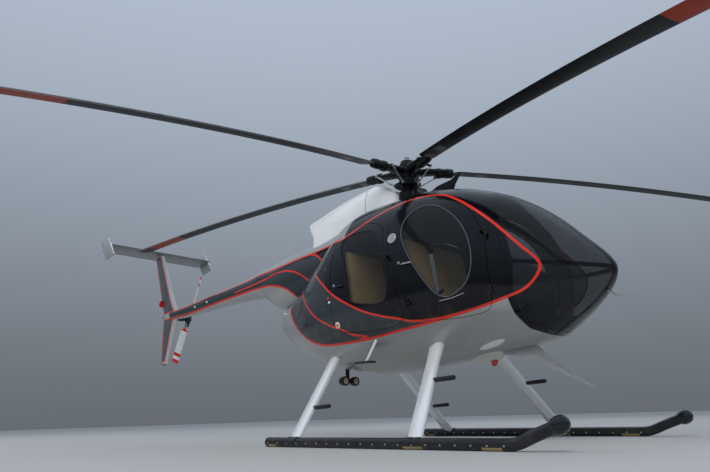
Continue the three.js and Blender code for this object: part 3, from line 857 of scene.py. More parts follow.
@dataclass(frozen=True)
class Glass:
    """Tinted acrylic with a faint haze of fine scratches."""

    name: str = "tinted acrylic"
    tint: Colour = (0.01, 0.012, 0.015)
    cover: float = 0.34
    lined: bool = False

    def make(self) -> bpy.types.Material:
        """Builds the material.

        Returns:
            The material.
        """
        n = Nodes(self.name)
        haze = n.noise(3.0, 5.0)
        colour = n.mix(haze, self.tint, tuple(c * 1.8 for c in self.tint))
        cover = haze * 0.1 + (self.cover - 0.05)
        if self.lined:
            edge = n.reading("dark_band")
            line = abs(edge).below(Livery.line)
            colour = n.mix(line, colour, Livery.red)
            cover = cover.most(line).most(edge.above(0.0) * 0.86)
        return n.done({
            "Base Color": colour,
            "Roughness": haze * 0.04 + 0.01,
            "Alpha": cover,
            "IOR": 1.49,
            "Specular IOR Level": 0.3,
            "Coat Weight": 0.15,
            "Coat Roughness": 0.02,
        })


@dataclass(frozen=True)
class Leather:
    """Creased tan leather."""

    name: str = "tan leather"
    colour: Colour = (0.74, 0.54, 0.26)

    def make(self) -> bpy.types.Material:
        """Builds the material.

        Returns:
            The material.
        """
        n = Nodes(self.name)
        patch = n.noise(5.0, 5.0)
        pores = n.cells(260.0)
        return n.done({
            "Base Color": n.mix(patch, tuple(c * 0.75 for c in self.colour),
                                tuple(c * 1.15 for c in self.colour)),
            "Roughness": patch * 0.2 + 0.42,
            "Sheen Weight": 0.2,
            "Normal": n.bump(pores + n.noise(30.0, 4.0) * 0.8, 0.0012),
        })


class Paint(Enum):
    """The stored distances that the livery is drawn from."""

    DARK = "dark_band"
    BLACK = "black_cabin"
    FLANK = "rear_flank"


FRONT_LINE = [
    (-0.298, 1.872), (-0.124, 1.942), (0.112, 2.041), (0.314, 2.098), (0.48, 2.112), (0.645, 2.104),
    (0.799, 2.062), (1.01, 1.931), (1.274, 1.706), (1.491, 1.461), (1.595, 1.338), (1.613, 1.29),
    (1.586, 1.215), (1.499, 1.124), (1.355, 1.068), (1.157, 1.018),
]
CURL_LINE = [(-0.712, 1.593), (-0.8, 1.69), (-0.88, 1.77), (-0.959, 1.855), (-1.037, 1.907), (-1.147, 1.942)]


@dataclass(frozen=True)
class Zones:
    """Closed side-view outlines of the painted areas on one form."""

    dark: Outline
    black: Outline
    flank: Outline


CABIN_ZONES = Zones(
    dark=FRONT_LINE + [
        (0.784, 0.961), (0.358, 0.919), (-0.055, 0.885), (-0.375, 0.88), (-0.653, 0.899), (-0.891, 0.981),
        (-1.027, 1.067), (-1.178, 1.171), (-1.326, 1.312), (-1.42, 1.43), (-1.489, 1.546), (-1.62, 1.645),
        (-1.7, 1.8), (-1.5, 1.93), (-1.165, 1.955), (-0.8, 1.94), (-0.6, 1.9), (-0.43, 1.872),
    ],
    black=FRONT_LINE + [
        (0.99, 0.992), (0.85, 0.976), (0.695, 0.97), (0.501, 0.984), (0.409, 1.011), (0.241, 1.051),
        (0.051, 1.112), (-0.174, 1.222), (-0.356, 1.329), (-0.524, 1.46), (-0.617, 1.529), *CURL_LINE,
        (-0.9, 1.955), (-0.6, 1.9), (-0.43, 1.872),
    ],
    flank=[
        (-1.5, 1.82), (-1.345, 1.761), (-1.221, 1.674), (-1.1, 1.56), (-0.99, 1.45), (-0.905, 1.375),
        (-0.841, 1.312), (-0.767, 1.246), (-0.666, 1.172), (-0.57, 1.115), (-0.395, 1.034), (-0.282, 0.994),
        (-0.166, 0.943), (-0.037, 0.914), (0.035, 0.897), (-0.055, 0.885), (-0.375, 0.88), (-0.653, 0.899),
        (-0.891, 0.981), (-1.027, 1.067), (-1.178, 1.171), (-1.326, 1.312), (-1.42, 1.43), (-1.489, 1.546),
        (-1.6, 1.64),
    ],
)
BOOM_ZONES = Zones(
    dark=[
        (-4.62, 1.745), (-4.165, 1.751), (-3.82, 1.775), (-3.439, 1.808), (-2.896, 1.85), (-2.439, 1.88),
        (-2.058, 1.905), (-1.84, 1.914), (-1.586, 1.93), (-1.367, 1.946), (-1.165, 1.955), (-0.899, 1.96),
        (-0.6, 1.95), (-0.2, 1.93), (-0.15, 1.4), (-0.7, 1.35), (-1.3, 1.34), (-1.42, 1.44), (-1.489, 1.546),
        (-1.544, 1.599), (-1.619, 1.644), (-1.694, 1.674), (-1.787, 1.698), (-1.891, 1.716), (-2.002, 1.728),
        (-2.29, 1.738), (-2.667, 1.727), (-3.062, 1.71), (-3.704, 1.667), (-4.179, 1.655), (-4.62, 1.69),
    ],
    black=[
        (-1.24, 1.951), (-1.165, 1.955), (-0.899, 1.96), (-0.6, 1.95), (-0.2, 1.93), (-0.2, 1.5), *CURL_LINE,
    ],
    flank=[
        (-2.95, 1.757), (-2.7, 1.768), (-2.55, 1.778), (-2.272, 1.795), (-2.006, 1.815), (-1.884, 1.835),
        (-1.764, 1.848), (-1.625, 1.846), (-1.519, 1.826), (-1.419, 1.796), (-1.345, 1.761), (-1.276, 1.716),
        (-1.221, 1.674), (-1.1, 1.56), (-0.99, 1.45), (-0.99, 1.25), (-1.8, 1.25), (-2.95, 1.4),
    ],
)


@dataclass(frozen=True)
class Livery:
    """Black cabin, slate flank and silver belly, parted by red lines."""

    red: Colour = RED
    black: Colour = (0.003, 0.0035, 0.006)
    slate: Colour = (0.028, 0.036, 0.042)
    silver: Colour = (0.46, 0.46, 0.455)
    line: float = 0.0095

    def store(self, piece: Piece, zones: Zones = CABIN_ZONES) -> None:
        """Stores each point's distance to the three painted outlines.

        Args:
            piece: The piece.
            zones: The painted areas of the form that it was cut from.
        """
        side = Former.spots(piece)[:, [0, 2]]
        for paint, outline in zip(Paint, (zones.dark, zones.black, zones.flank)):
            Former.store(piece, paint.value, signed_distance(side, rounded(outline, 340)))

    def canopy(self) -> bpy.types.Material:
        """Builds the canopy frame's black with the same red line.

        Returns:
            The material.
        """
        n = Nodes("painted canopy frame")
        line = abs(n.reading(Paint.DARK.value)).below(self.line)
        return n.done({
            "Base Color": n.mix(line, self.black, self.red),
            "Roughness": n.noise(9.0, 5.0) * 0.05 + 0.12,
            "Coat Weight": 0.15,
            "Coat Roughness": 0.05,
            "Specular IOR Level": 0.2,
        })

    def make(self) -> bpy.types.Material:
        """Builds the skin's material.

        Returns:
            The material.
        """
        n = Nodes("painted skin")
        dark, black, flank = (n.reading(p.value) for p in Paint)
        x, z = n.place("X"), n.place("Z")
        patch = n.noise(1.3, 4.0)
        fine = n.noise(9.0, 5.0)
        line = abs(dark).below(self.line)
        line = line.most(abs(black).below(self.line * 0.95))
        line = line.most(abs(flank).below(self.line * 0.9) * x.above(-2.02, 0.03))
        roof = z.above(1.35, 0.01) * x.above(0.4, 0.004)
        silver = n.mix(patch, tuple(c * 0.86 for c in self.silver), self.silver)
        ground = n.mix(roof, silver, self.black)
        ground = n.mix(dark.above(0.0), ground, n.mix(patch, self.slate, tuple(c * 1.35 for c in self.slate)))
        ground = n.mix(black.above(0.0), ground, self.black)
        # Brownish tint in patches towards the bottom of the skin: partly dust, partly a painted reflection of
        # the deck on the lower belly.
        dust_and_deck_reflection = z.below(0.95, 0.3) * fine.above(0.55, 0.2) * 0.22
        colour = n.mix(dust_and_deck_reflection, n.mix(line, ground, self.red), (0.3, 0.25, 0.19))
        shine = (1.0 - dark.above(0.0)) * (1.0 - roof) * (1.0 - line)
        return n.done({
            "Base Color": colour,
            "Metallic": shine * 0.55,
            "Roughness": shine * 0.16 + (fine * 0.05 + 0.14),
            "Coat Weight": 0.15,
            "Coat Roughness": 0.05,
            "Specular IOR Level": 0.2,
        })


@dataclass(frozen=True)
class BladePaint:
    """Charcoal blade with a coloured tip, a worn leading edge and pale doublers."""

    name: str
    ground: Colour
    bands: tuple[tuple[float, float, Colour], ...]
    patches: bool = False

    def make(self) -> bpy.types.Material:
        """Builds the material.

        Returns:
            The material.
        """
        n = Nodes(self.name)
        reach, chord = n.reading("reach"), n.reading("chord")
        patch = n.noise(7.0, 5.0)
        colour = n.mix(patch, tuple(c * 0.8 for c in self.ground), tuple(c * 1.25 for c in self.ground))
        for start, end, band in self.bands:
            width = chord.above(0.22, 0.05) * chord.below(0.7, 0.05) if self.patches and end < 0.9 else 1.0
            colour = n.mix(reach.above(start, 0.002) * reach.below(end, 0.002) * width, colour, band)
        worn = chord.below(0.09, 0.012) * patch.above(0.32, 0.2)
        colour = n.mix(worn * 0.7, colour, (0.3, 0.3, 0.31))
        return n.done({
            "Base Color": colour,
            "Metallic": worn * 0.6,
            "Roughness": patch * 0.2 + 0.3,
            "Specular IOR Level": 0.25,
            "Normal": n.bump(n.noise(160.0), 0.0002),
        })


@dataclass(frozen=True)
class FinPaint:
    """Slate panel with a red border on silver."""

    red: Colour = RED
    slate: Colour = (0.04, 0.047, 0.05)
    silver: Colour = (0.55, 0.56, 0.57)

    def make(self) -> bpy.types.Material:
        """Builds the material.

        Returns:
            The material.
        """
        n = Nodes("fin paint")
        edge = n.reading("panel")
        patch = n.noise(5.0, 4.0)
        colour = n.mix(patch, tuple(c * 0.85 for c in self.silver), self.silver)
        colour = n.mix(edge.above(0.0), colour, n.mix(patch, self.slate, tuple(c * 1.5 for c in self.slate)))
        colour = n.mix(abs(edge - 0.004).below(0.008), colour, self.red)
        return n.done({
            "Base Color": colour, "Metallic": edge.below(0.0) * 0.45, "Roughness": patch * 0.14 + 0.2,
            "Coat Weight": 0.6,
        })


# Cabin skin

SECTIONS = [
    (1.985, 0.088, 1.16, 1.354), (1.93, 0.152, 1.096, 1.424), (1.85, 0.224, 1.026, 1.51),
    (1.75, 0.305, 0.952, 1.616), (1.65, 0.38, 0.888, 1.72), (1.55, 0.444, 0.827, 1.81),
    (1.45, 0.5, 0.778, 1.89), (1.33, 0.56, 0.752, 1.972), (1.2, 0.61, 0.739, 2.046),
    (0.9, 0.68, 0.712, 2.169), (0.7, 0.695, 0.68, 2.224), (0.5, 0.7, 0.655, 2.258),
    (0.1, 0.7, 0.632, 2.265), (-0.3, 0.688, 0.613, 2.247), (-0.455, 0.67, 0.63, 2.195),
    (-0.6, 0.646, 0.65, 2.085), (-0.75, 0.608, 0.68, 1.96), (-0.9, 0.56, 0.72, 1.845),
    (-1.171, 0.44, 0.822, 1.665), (-1.306, 0.384, 0.885, 1.582), (-1.441, 0.33, 0.968, 1.512),
    (-1.55, 0.28, 1.046, 1.468), (-1.64, 0.224, 1.126, 1.44), (-1.712, 0.154, 1.21, 1.422),
    (-1.751, 0.084, 1.288, 1.405),
]
NOSE_TIP, TAIL_TIP = (2.024, 0.0, 1.262, 1.262), (-1.764, 0.0, 1.354, 1.354)
FULLNESS, WIDEST = 2.25, 0.42
BEYOND = 0.95
FIREWALL_X, FLOOR_Z = -0.455, 0.93
CANOPY = [
    (2.3, 0.5), (1.54, 0.5), (1.5, 0.8), (1.425, 0.845), (1.385, 0.95), (1.375, 1.06), (1.4, 1.32),
    (1.348, 1.56), (1.28, 1.73), (1.15, 1.96), (1.08, 2.13), (1.06, 2.4), (2.3, 2.4),
]
DIVIDER = [(1.0, 1.38), (1.3, 1.358), (2.3, 1.223)]
FRONT_DOOR = [
    (1.262, 1.09), (1.264, 1.4), (1.24, 1.56), (1.18, 1.71), (1.09, 1.835), (0.97, 1.94), (0.81, 2.008),
    (0.64, 2.035), (0.48, 2.025), (0.38, 1.97), (0.325, 1.87), (0.318, 1.76), (0.35, 1.615), (0.43, 1.435),
    (0.505, 1.2), (0.56, 1.045), (0.62, 0.985), (1.2, 0.985), (1.246, 1.022),
]
FRONT_WINDOW = [
    (0.478, 1.733), (0.484, 1.862), (0.57, 1.958), (0.723, 1.968), (0.889, 1.88), (1.05, 1.715),
    (1.136, 1.525), (1.149, 1.366), (1.106, 1.228), (1.021, 1.154), (0.909, 1.122), (0.833, 1.156),
    (0.739, 1.266), (0.63, 1.427), (0.532, 1.604),
]
REAR_DOOR = [
    (0.262, 1.78), (0.292, 1.62), (0.372, 1.432), (0.446, 1.2), (0.468, 1.07), (0.42, 0.985), (-0.29, 0.985),
    (-0.362, 1.05), (-0.384, 1.3), (-0.394, 1.65), (-0.384, 1.82), (-0.32, 1.912), (-0.16, 1.958),
    (0.06, 1.946), (0.196, 1.89), (0.252, 1.83),
]
REAR_WINDOW = [
    (-0.29, 1.79), (-0.262, 1.866), (-0.105, 1.888), (0.109, 1.852), (0.186, 1.76), (0.222, 1.66),
    (0.34, 1.29), (0.286, 1.178), (-0.089, 1.219), (-0.162, 1.285), (-0.179, 1.531),
]


class Hull:
    """The egg-shaped skin of cabin and engine bay, from which all its panels are cut."""

    def __init__(self, rings: int = 150, around: int = 104) -> None:
        """Works out the skin's smooth form.

        Args:
            rings: Rings from nose to tail.
            around: Points in each ring.
        """
        sections = np.array(SECTIONS)

        before, after = (row[[0, 1, 3, 2]] * (1, -1, 1, 1) for row in (sections[0], sections[-1]))
        rows = np.vstack([before, NOSE_TIP, sections, TAIL_TIP, after])
        fine = rounded(rows, 3000, closed=False)
        fine = fine[fine[:, 1] > 0]
        fine = np.vstack([NOSE_TIP, fine, TAIL_TIP])
        run = np.concatenate([[0.0], np.cumsum(np.linalg.norm(np.diff(fine, axis=0), axis=1))])
        stops = np.linspace(0, run[-1], rings)
        self.rows = np.stack([np.interp(stops, run, fine[:, k]) for k in range(4)], axis=1)
        self.table = fine[np.argsort(fine[:, 0])]
        self.around = around

    def form(self, x: np.ndarray) -> tuple[np.ndarray, ...]:
        """Gives half width, middle height, and reach above and below it, along the cabin.

        Args:
            x: The stations.

        Returns:
            Four arrays.
        """
        half, low, high = (np.interp(x, self.table[:, 0], self.table[:, k]) for k in (1, 2, 3))
        middle = low + (high - low) * WIDEST
        up, down = np.maximum(high - middle, 0.003), np.maximum(middle - low, 0.003)
        return np.maximum(half, 0.003), middle, up, down

    def skin(self, x: float, z: float) -> float:
        """Gives the skin's half width at a place in side view.

        Args:
            x: The station.
            z: The height.

        Returns:
            Metres from the middle plane.
        """
        half, middle, up, down = self.form(np.array(x))
        share = min(1.0, abs(z - middle) / (up if z > middle else down))
        return float(half * (1 - share**FULLNESS) ** (1 / FULLNESS))

    def belly(self, x: float, y: float) -> float:
        """Gives the belly's height."""
        half, middle, _, down = (float(v) for v in self.form(np.array(x)))
        return middle - down * (1 - min(1.0, abs(y) / half) ** FULLNESS) ** (1 / FULLNESS)

    def roof(self, x: float, y: float) -> float:
        """Gives the roof's height."""
        half, middle, up, _ = (float(v) for v in self.form(np.array(x)))
        return middle + up * (1 - min(1.0, abs(y) / half) ** FULLNESS) ** (1 / FULLNESS)

    def seat(self, side: int, x: float, z: float, lift: float = 0.0) -> tuple[np.ndarray, np.ndarray]:
        """Gives a place on one side of the skin, and the way out of it.

        Args:
            side: RIGHT or LEFT.
            x: The station.
            z: The height.
            lift: How far outside the skin the place lies.

        Returns:
            The place and the outward direction.
        """
        base = np.array([x, side * self.skin(x, z), z])
        out = self.normal(base[None])[0]
        return base + out * lift, out

    def normal(self, spots: np.ndarray) -> np.ndarray:
        """Gives the skin's own normal near places on it, from the datum.

        Args:
            spots: Places, from the datum.

        Returns:
            One outward direction for each place.
        """

        def level(x: np.ndarray) -> np.ndarray:
            """Gives a number that is 1 on the skin and more outside it."""
            half, middle, up, down = self.form(x)
            reach = np.where(spots[:, 2] > middle, up, down)
            across, along = np.abs(spots[:, 1]) / half, np.abs(spots[:, 2] - middle) / reach
            return across**FULLNESS + along**FULLNESS

        half, middle, up, down = self.form(spots[:, 0])
        reach = np.where(spots[:, 2] > middle, up, down)
        rise = spots[:, 2] - middle
        slope = np.stack([
            (level(spots[:, 0] + 0.002) - level(spots[:, 0] - 0.002)) / 0.004,
            FULLNESS * power(spots[:, 1], FULLNESS - 1) / half**FULLNESS,
            FULLNESS * power(rise, FULLNESS - 1) / reach**FULLNESS,
        ], 1)
        return slope / (np.linalg.norm(slope, axis=1)[:, None] + 1e-9)

    def solid(self, name: str, wall: float = 0.0, outset: float = 0.0) -> Piece:
        """Builds the whole skin as a filled body, or as a shell with a wall.

        Args:
            name: The piece's name.
            wall: Wall thickness, or 0 for a filled body.
            outset: How far outside the skin it lies.

        Returns:
            The body.
        """
        angle = np.linspace(0, 2 * math.pi, self.around, endpoint=False) + math.pi / self.around
        across, along = power(np.cos(angle), 2 / FULLNESS), power(np.sin(angle), 2 / FULLNESS)
        rings = []
        for x, half, low, high in self.rows:
            middle = low + (high - low) * WIDEST
            reach = np.where(along > 0, high - middle + outset, middle - low + outset)
            ring = [np.full(self.around, x), (half + outset) * across, middle + reach * along]
            rings.append(np.stack(ring, 1))
        body = Former.sheath(name, rings)
        return Former.thicken(body, wall) if wall else body

    def dress(self, piece: Piece) -> None:
        """Gives a cut panel the smooth skin's normals, and its inner faces the second material.

        Args:
            piece: The piece.
        """
        mesh = piece.data
        smooth = self.normal(Former.spots(piece))
        corner = np.empty(len(mesh.loops), int)
        mesh.loops.foreach_get("vertex_index", corner)
        flat = np.empty(len(mesh.polygons) * 3)
        mesh.polygons.foreach_get("normal", flat)
        flat = flat.reshape(-1, 3)
        sizes = np.empty(len(mesh.polygons), int)
        mesh.polygons.foreach_get("loop_total", sizes)
        face = np.repeat(np.arange(len(sizes)), sizes)
        agree = np.sum(smooth[corner] * flat[face], axis=1)[:, None]
        shown = np.where(agree > 0.6, smooth[corner], np.where(agree < -0.6, -smooth[corner], flat[face]))
        mesh.polygons.foreach_set("use_smooth", np.ones(len(sizes), bool))
        inward = np.bincount(face, agree[:, 0], len(sizes)) / sizes < -0.6
        mesh.polygons.foreach_set("material_index", inward.astype(int))
        mesh.normals_split_custom_set(shown.tolist())
        mesh.update()


Surface = Union[Finish, Glass, Leather, BladePaint, FinPaint]


class Workshop:
    """Finishes pieces: materials, what they ride on and which nodes they stand for."""

    def __init__(self) -> None:
        """Builds the materials."""
        self.livery = Livery()
        self.paint, self.canopy_paint = self.livery.make(), self.livery.canopy()
        self.made: dict[str, bpy.types.Material] = {}
        self.count = 0

    def material(self, finish: Union[Surface, bpy.types.Material]) -> bpy.types.Material:
        """Gives a finish's material, made once.

        Args:
            finish: The finish, or a material that is built already.

        Returns:
            The material.
        """
        if isinstance(finish, bpy.types.Material):
            return finish
        key = repr(finish)
        if key not in self.made:
            self.made[key] = finish.make()
        return self.made[key]

    def fit(self, piece: Piece, body: Body, slot: Slot, finishes: Union[object, Sequence[object]],
            stands_for: Iterable[str] = ()) -> None:
        """Finishes one piece.

        Args:
            piece: The piece.
            body: What it rides on.
            slot: The record's material slot; not used.
            finishes: One finish, or several in the order of the piece's material indices.
            stands_for: The nodes that it replaces.
        """
        chosen = finishes if isinstance(finishes, (tuple, list)) else (finishes,)
        indices = np.empty(len(piece.data.polygons), int)
        piece.data.polygons.foreach_get("material_index", indices)
        piece.data.materials.clear()
        for finish in chosen:
            piece.data.materials.append(self.material(finish))
        piece.data.polygons.foreach_set("material_index", np.minimum(indices, len(chosen) - 1))
        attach(piece, body.value)
        if stands_for:
            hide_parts(*stands_for)
        self.count += 1
        LOG.info("%s rides %s, %d faces", piece.name, body.value, len(indices))

    def add(self, piece: Piece, slot: Slot, finish: object, node: str = "", angle: float = 32,
            body: Body = Body.AIRFRAME) -> None:
        """Smooths and finishes one piece.

        Args:
            piece: The piece.
            slot: The record's material slot.
            finish: Its finish.
            node: The node that it replaces, if any.
            angle: Sharpest edge that is shaded smooth, in degrees.
            body: What it rides on.
        """
        self.fit(Former.smooth(piece, angle), body, slot, finish, [node] if node else ())

    def both(self, right: Piece, slot: Slot, finish: object, node: str = "") -> None:
        """Finishes a piece on the right side of the airframe, and its twin on the left.

        Args:
            right: The piece, with right in its name.
            slot: The record's material slot.
            finish: Its finish.
            node: Name of the nodes that the two replace, without the side.
        """
        for side, label in SIDES:
            piece = right if side == RIGHT else Former.flipped(right)
            self.add(piece, slot, finish, node and f"{node}_{label}", 40)


BLACK_GLOSS = Finish("black gloss", (0.005, 0.006, 0.009), 0.16, coat=0.5, mottle=0.2, patch=1.5, gleam=0.3)
TRIM_GREY = Finish("grey trim", (0.13, 0.13, 0.135), 0.62, mottle=0.15, grain=0.0006, pitch=700)
CARPET = Finish("dark carpet", (0.035, 0.035, 0.038), 0.95, mottle=0.35, patch=40, grain=0.002, pitch=900)
RUBBER = Finish("rubber seal", (0.012, 0.012, 0.013), 0.7, mottle=0.3, patch=20)
PALE_TRIM = Finish("window trim", (0.13, 0.14, 0.15), 0.35, metal=0.3, mottle=0.08)
BARE_METAL = Finish("bare metal", (0.62, 0.62, 0.61), 0.3, metal=1.0, mottle=0.1, patch=14, grain=0.0002,
                    pitch=500)
LEG_METAL = Finish("polished leg", (0.88, 0.89, 0.9), 0.24, metal=0.4, coat=0.3, mottle=0.06, patch=3)
DARK_METAL = Finish("dark metal", (0.045, 0.047, 0.05), 0.38, metal=0.8, mottle=0.3, patch=12)
HUB_BLACK = Finish("hub black", (0.007, 0.007, 0.009), 0.4, mottle=0.35, patch=18, gleam=0.3)
SKID_BLACK = Finish("skid black", (0.01, 0.01, 0.012), 0.34, coat=0.2, mottle=0.3, patch=5, dust=0.06,
                    gleam=0.35)
SHOE = Finish("worn wear shoe", (0.5, 0.38, 0.19), 0.5, metal=0.7, mottle=0.3, patch=22, grain=0.0004)
WHITE_PAINT = Finish("white paint", (0.8, 0.81, 0.82), 0.24, coat=0.5, mottle=0.06, patch=1.2, dust=0.06)
STABILISER_GREY = Finish("stabiliser grey", (0.2, 0.21, 0.22), 0.3, metal=0.3, coat=0.4, mottle=0.08, patch=2)
GREY_PAINT = Finish("grey paint", (0.36, 0.37, 0.38), 0.26, metal=0.4, coat=0.5, mottle=0.08, patch=2)
HOT_STEEL = Finish("heated steel", (0.23, 0.19, 0.16), 0.34, metal=1.0, mottle=0.45, patch=16, grain=0.0004)
SOOT = Finish("sooty metal", (0.05, 0.047, 0.045), 0.6, metal=0.7, mottle=0.5, patch=10)
PALE_CUFF = Finish("pale cuff", (0.62, 0.61, 0.57), 0.3, metal=0.3, coat=0.5, mottle=0.06, patch=3)
RED_GLOSS = Finish("red gloss", RED, 0.2, coat=0.8, mottle=0.1)
RED_LENS = Finish("red lens", (0.55, 0.012, 0.01), 0.08, coat=1.0, mottle=0.2, patch=30)
TAN_LENS = Finish("lamp lens", (0.34, 0.26, 0.17), 0.14, coat=1.0, mottle=0.15, patch=40, grain=0.0006,
                  pitch=160)
WHITE_LENS = Finish("white lens", (0.85, 0.86, 0.88), 0.1, coat=1.0, mottle=0.06)
SCREEN = Finish("instrument face", (0.01, 0.012, 0.014), 0.12, coat=1.0, mottle=0.5, patch=40)
CONSOLE_BLACK = Finish("console black", (0.02, 0.02, 0.022), 0.55, mottle=0.2, patch=20, grain=0.0004)
ORANGE_CAP = Finish("orange cap", (0.8, 0.18, 0.02), 0.3)
PALE_FLOOR = Finish("pale floor", (0.44, 0.44, 0.43), 0.85, mottle=0.03, patch=0.4, gleam=0.1)
LEATHER = Leather()
GLASS, LINED_GLASS = Glass(), Glass("lined acrylic", cover=0.5, lined=True)


@dataclass
class Cabin:
    """Canopy, glass, doors and the skin round them."""

    shop: Workshop
    hull: Hull
    knuckles: dict[str, tuple[float, ...]] = field(default_factory=lambda: {
        "front": (1.284, 0.596, 0.0, 1.14, 1.6), "rear": (0.418, 0.722, -0.4365, 1.12, 1.56)})

    def build(self, shell: Piece, pane: Piece) -> None:
        """Cuts every panel from the skin and from the glass.

        Args:
            shell: The whole skin as a shell.
            pane: The whole skin as thin glass.
        """
        self.canopy(shell, pane)
        outlines = {"front": (FRONT_DOOR, FRONT_WINDOW), "rear": (REAR_DOOR, REAR_WINDOW)}
        body = Former.crop(Former.copy(shell, "cabin_skin"), FIREWALL_X, 3.0)
        Former.cut(body, Former.prism("tool", grown(CANOPY, 0.002), -BEYOND, BEYOND))
        for which, (door, window) in outlines.items():
            leaf, opening = rounded(door, 60), rounded(window, 56)
            room = grown(leaf, 0.004)
            room[:, 0] -= np.where((which == "rear") & (room[:, 0] < -0.15), 0.004, 0.0)
            for y0, y1 in ((-BEYOND, -0.2), (0.2, BEYOND)):
                Former.cut(body, Former.prism("tool", room, y0, y1))
            self.door(which, shell, pane, leaf, opening)
        self.paint(body, Body.AIRFRAME, "cabin_shell")

    def paint(self, piece: Piece, body: Body, node: str, slot: Slot = Slot.SILVER,
              finishes: Sequence[object] = ()) -> None:
        """Dresses a panel in the livery.

        Args:
            piece: The panel.
            body: What it rides on.
            node: The node that it replaces.
            slot: The record's material slot.
            finishes: Finishes of its outer and inner faces, the skin's paint and grey trim if left out.
        """
        self.hull.dress(piece)
        self.shop.livery.store(piece)
        self.shop.fit(piece, body, slot, finishes or (self.shop.paint, TRIM_GREY), [node])

    def canopy(self, shell: Piece, pane: Piece) -> None:
        """Cuts the canopy's frame and its four panes.

        Args:
            shell: The whole skin as a shell.
            pane: The whole skin as thin glass.
        """
        whole = grown(CANOPY, -0.042)
        line = np.array(DIVIDER)
        frame_piece = Former.copy(shell, "canopy_frame_skin")
        Former.cut(frame_piece, Former.prism("tool", CANOPY, -BEYOND, BEYOND), "INTERSECT")
        for part, rise, edge in (("windshield", 0.016, 2.4), ("chin_window", -0.016, 0.5)):
            limit = [*(line + (0, rise)), (2.3, edge), (1.0, edge)]
            tool = Former.prism(f"{part}_room", whole, -BEYOND, -0.023)
            Former.cut(tool, Former.prism("tool", limit, -0.97, 0.1), "INTERSECT")
            for side, label in SIDES:
                room = tool if side == RIGHT else Former.flipped(tool)
                glass = Former.cut(Former.copy(pane, f"{part}_{label}_glass"), room, "INTERSECT", keep=True)
                Former.cut(frame_piece, room, keep=True)
                if side == LEFT:
                    bpy.data.objects.remove(room)
                self.paint(glass, Body.AIRFRAME, f"{part}_{label}", Slot.GLASS, (LINED_GLASS, GLASS))
            bpy.data.objects.remove(tool)
        self.paint(frame_piece, Body.AIRFRAME, "canopy_frame", Slot.BLACK,
                   (self.shop.canopy_paint, TRIM_GREY))

    def on_skin(self, outline: Outline, lift: float, side: int = RIGHT) -> np.ndarray:
        """Lays a side-view outline on the skin."""
        return np.array([(x, side * (self.hull.skin(x, z) + lift), z) for x, z in outline])

    def door(self, which: str, shell: Piece, pane: Piece, leaf: np.ndarray,
             opening: np.ndarray) -> None:
        """Makes one pair of doors with windows, seals, hinges and handles.

        Args:
            which: Front or rear.
            shell: The whole skin as a shell.
            pane: The whole skin as thin glass.
            leaf: The door's outline.
            opening: The window's outline.
        """
        name = f"door_{which}_right"
        right = Former.copy(shell, f"{name}_leaf")
        Former.cut(right, Former.prism("tool", leaf, -BEYOND, -0.2), "INTERSECT")
        Former.cut(right, Former.prism("tool", opening, -BEYOND, -0.1))
        glass = Former.copy(pane, f"{name}_glass")
        Former.cut(glass, Former.prism("tool", grown(opening, -0.0005), -BEYOND, -0.2), "INTERSECT")
        line = self.on_skin(rounded(grown(opening, -0.001), 90), 0.0005)
        seal = Former.pipe(f"{name}_seal", line, 0.0038, 8, closed=True)
        Former.smooth(seal, 60)
        hinge_x, hinge_y, lean, *heights = self.knuckles[which]
        for side, label in SIDES:
            body = Body[f"{which.upper()}_{label.upper()}"]
            pieces = [right, glass, seal]
            if side == LEFT:
                pieces = [Former.flipped(piece) for piece in pieces]
            self.paint(pieces[0], body, f"door_{which}_{label}")
            self.hull.dress(pieces[1])
            self.shop.fit(pieces[1], body, Slot.GLASS, (GLASS, GLASS), [f"door_window_{which}_{label}"])
            self.shop.fit(pieces[2], body, Slot.BLACK, PALE_TRIM if which == "front" else RUBBER)
            self.handle(which, label, side, body)
            if which == "front":
                self.marks(label, side, body)
            for number, z in enumerate(heights, 1):
                self.hinge(f"{which}_{label}_{number}", side, body, leaf, (hinge_x, hinge_y, lean), z)

    def marks(self, label: str, side: int, body: Body) -> None:
        """Sets a vent with its rim and a pale strip on a front door.

        Args:
            label: The side's name.
            side: RIGHT or LEFT.
            body: What the pieces ride on.
        """
        place, out = self.hull.seat(side, 0.38, 1.718, -0.003)
        rim = Former.lathe(f"vent_rim_{label}", place, out, [
            (0, 0.036), (0, 0.046), (0.007, 0.046), (0.01, 0.042), (0.009, 0.038), (0.004, 0.036),
            (0, 0.036)], 44)
        self.shop.add(rim, Slot.ALLOY, PALE_CUFF, body=body)
        disc = Former.lathe(f"vent_disc_{label}", place, out, [
            (0, 0), (0, 0.0362), (0.006, 0.0362), (0.008, 0.03), (0.009, 0.01), (0.009, 0)], 40)
        self.shop.add(disc, Slot.ALLOY, BARE_METAL, angle=50, body=body)
        strip = Former.pipe(f"door_strip_{label}",
                            self.on_skin([(0.846, 1.099), (0.955, 1.108), (1.064, 1.133)], 0.001, side),
                            0.0055, 10, flat=0.5)
        self.shop.add(strip, Slot.ALLOY, PALE_CUFF, angle=50, body=body)

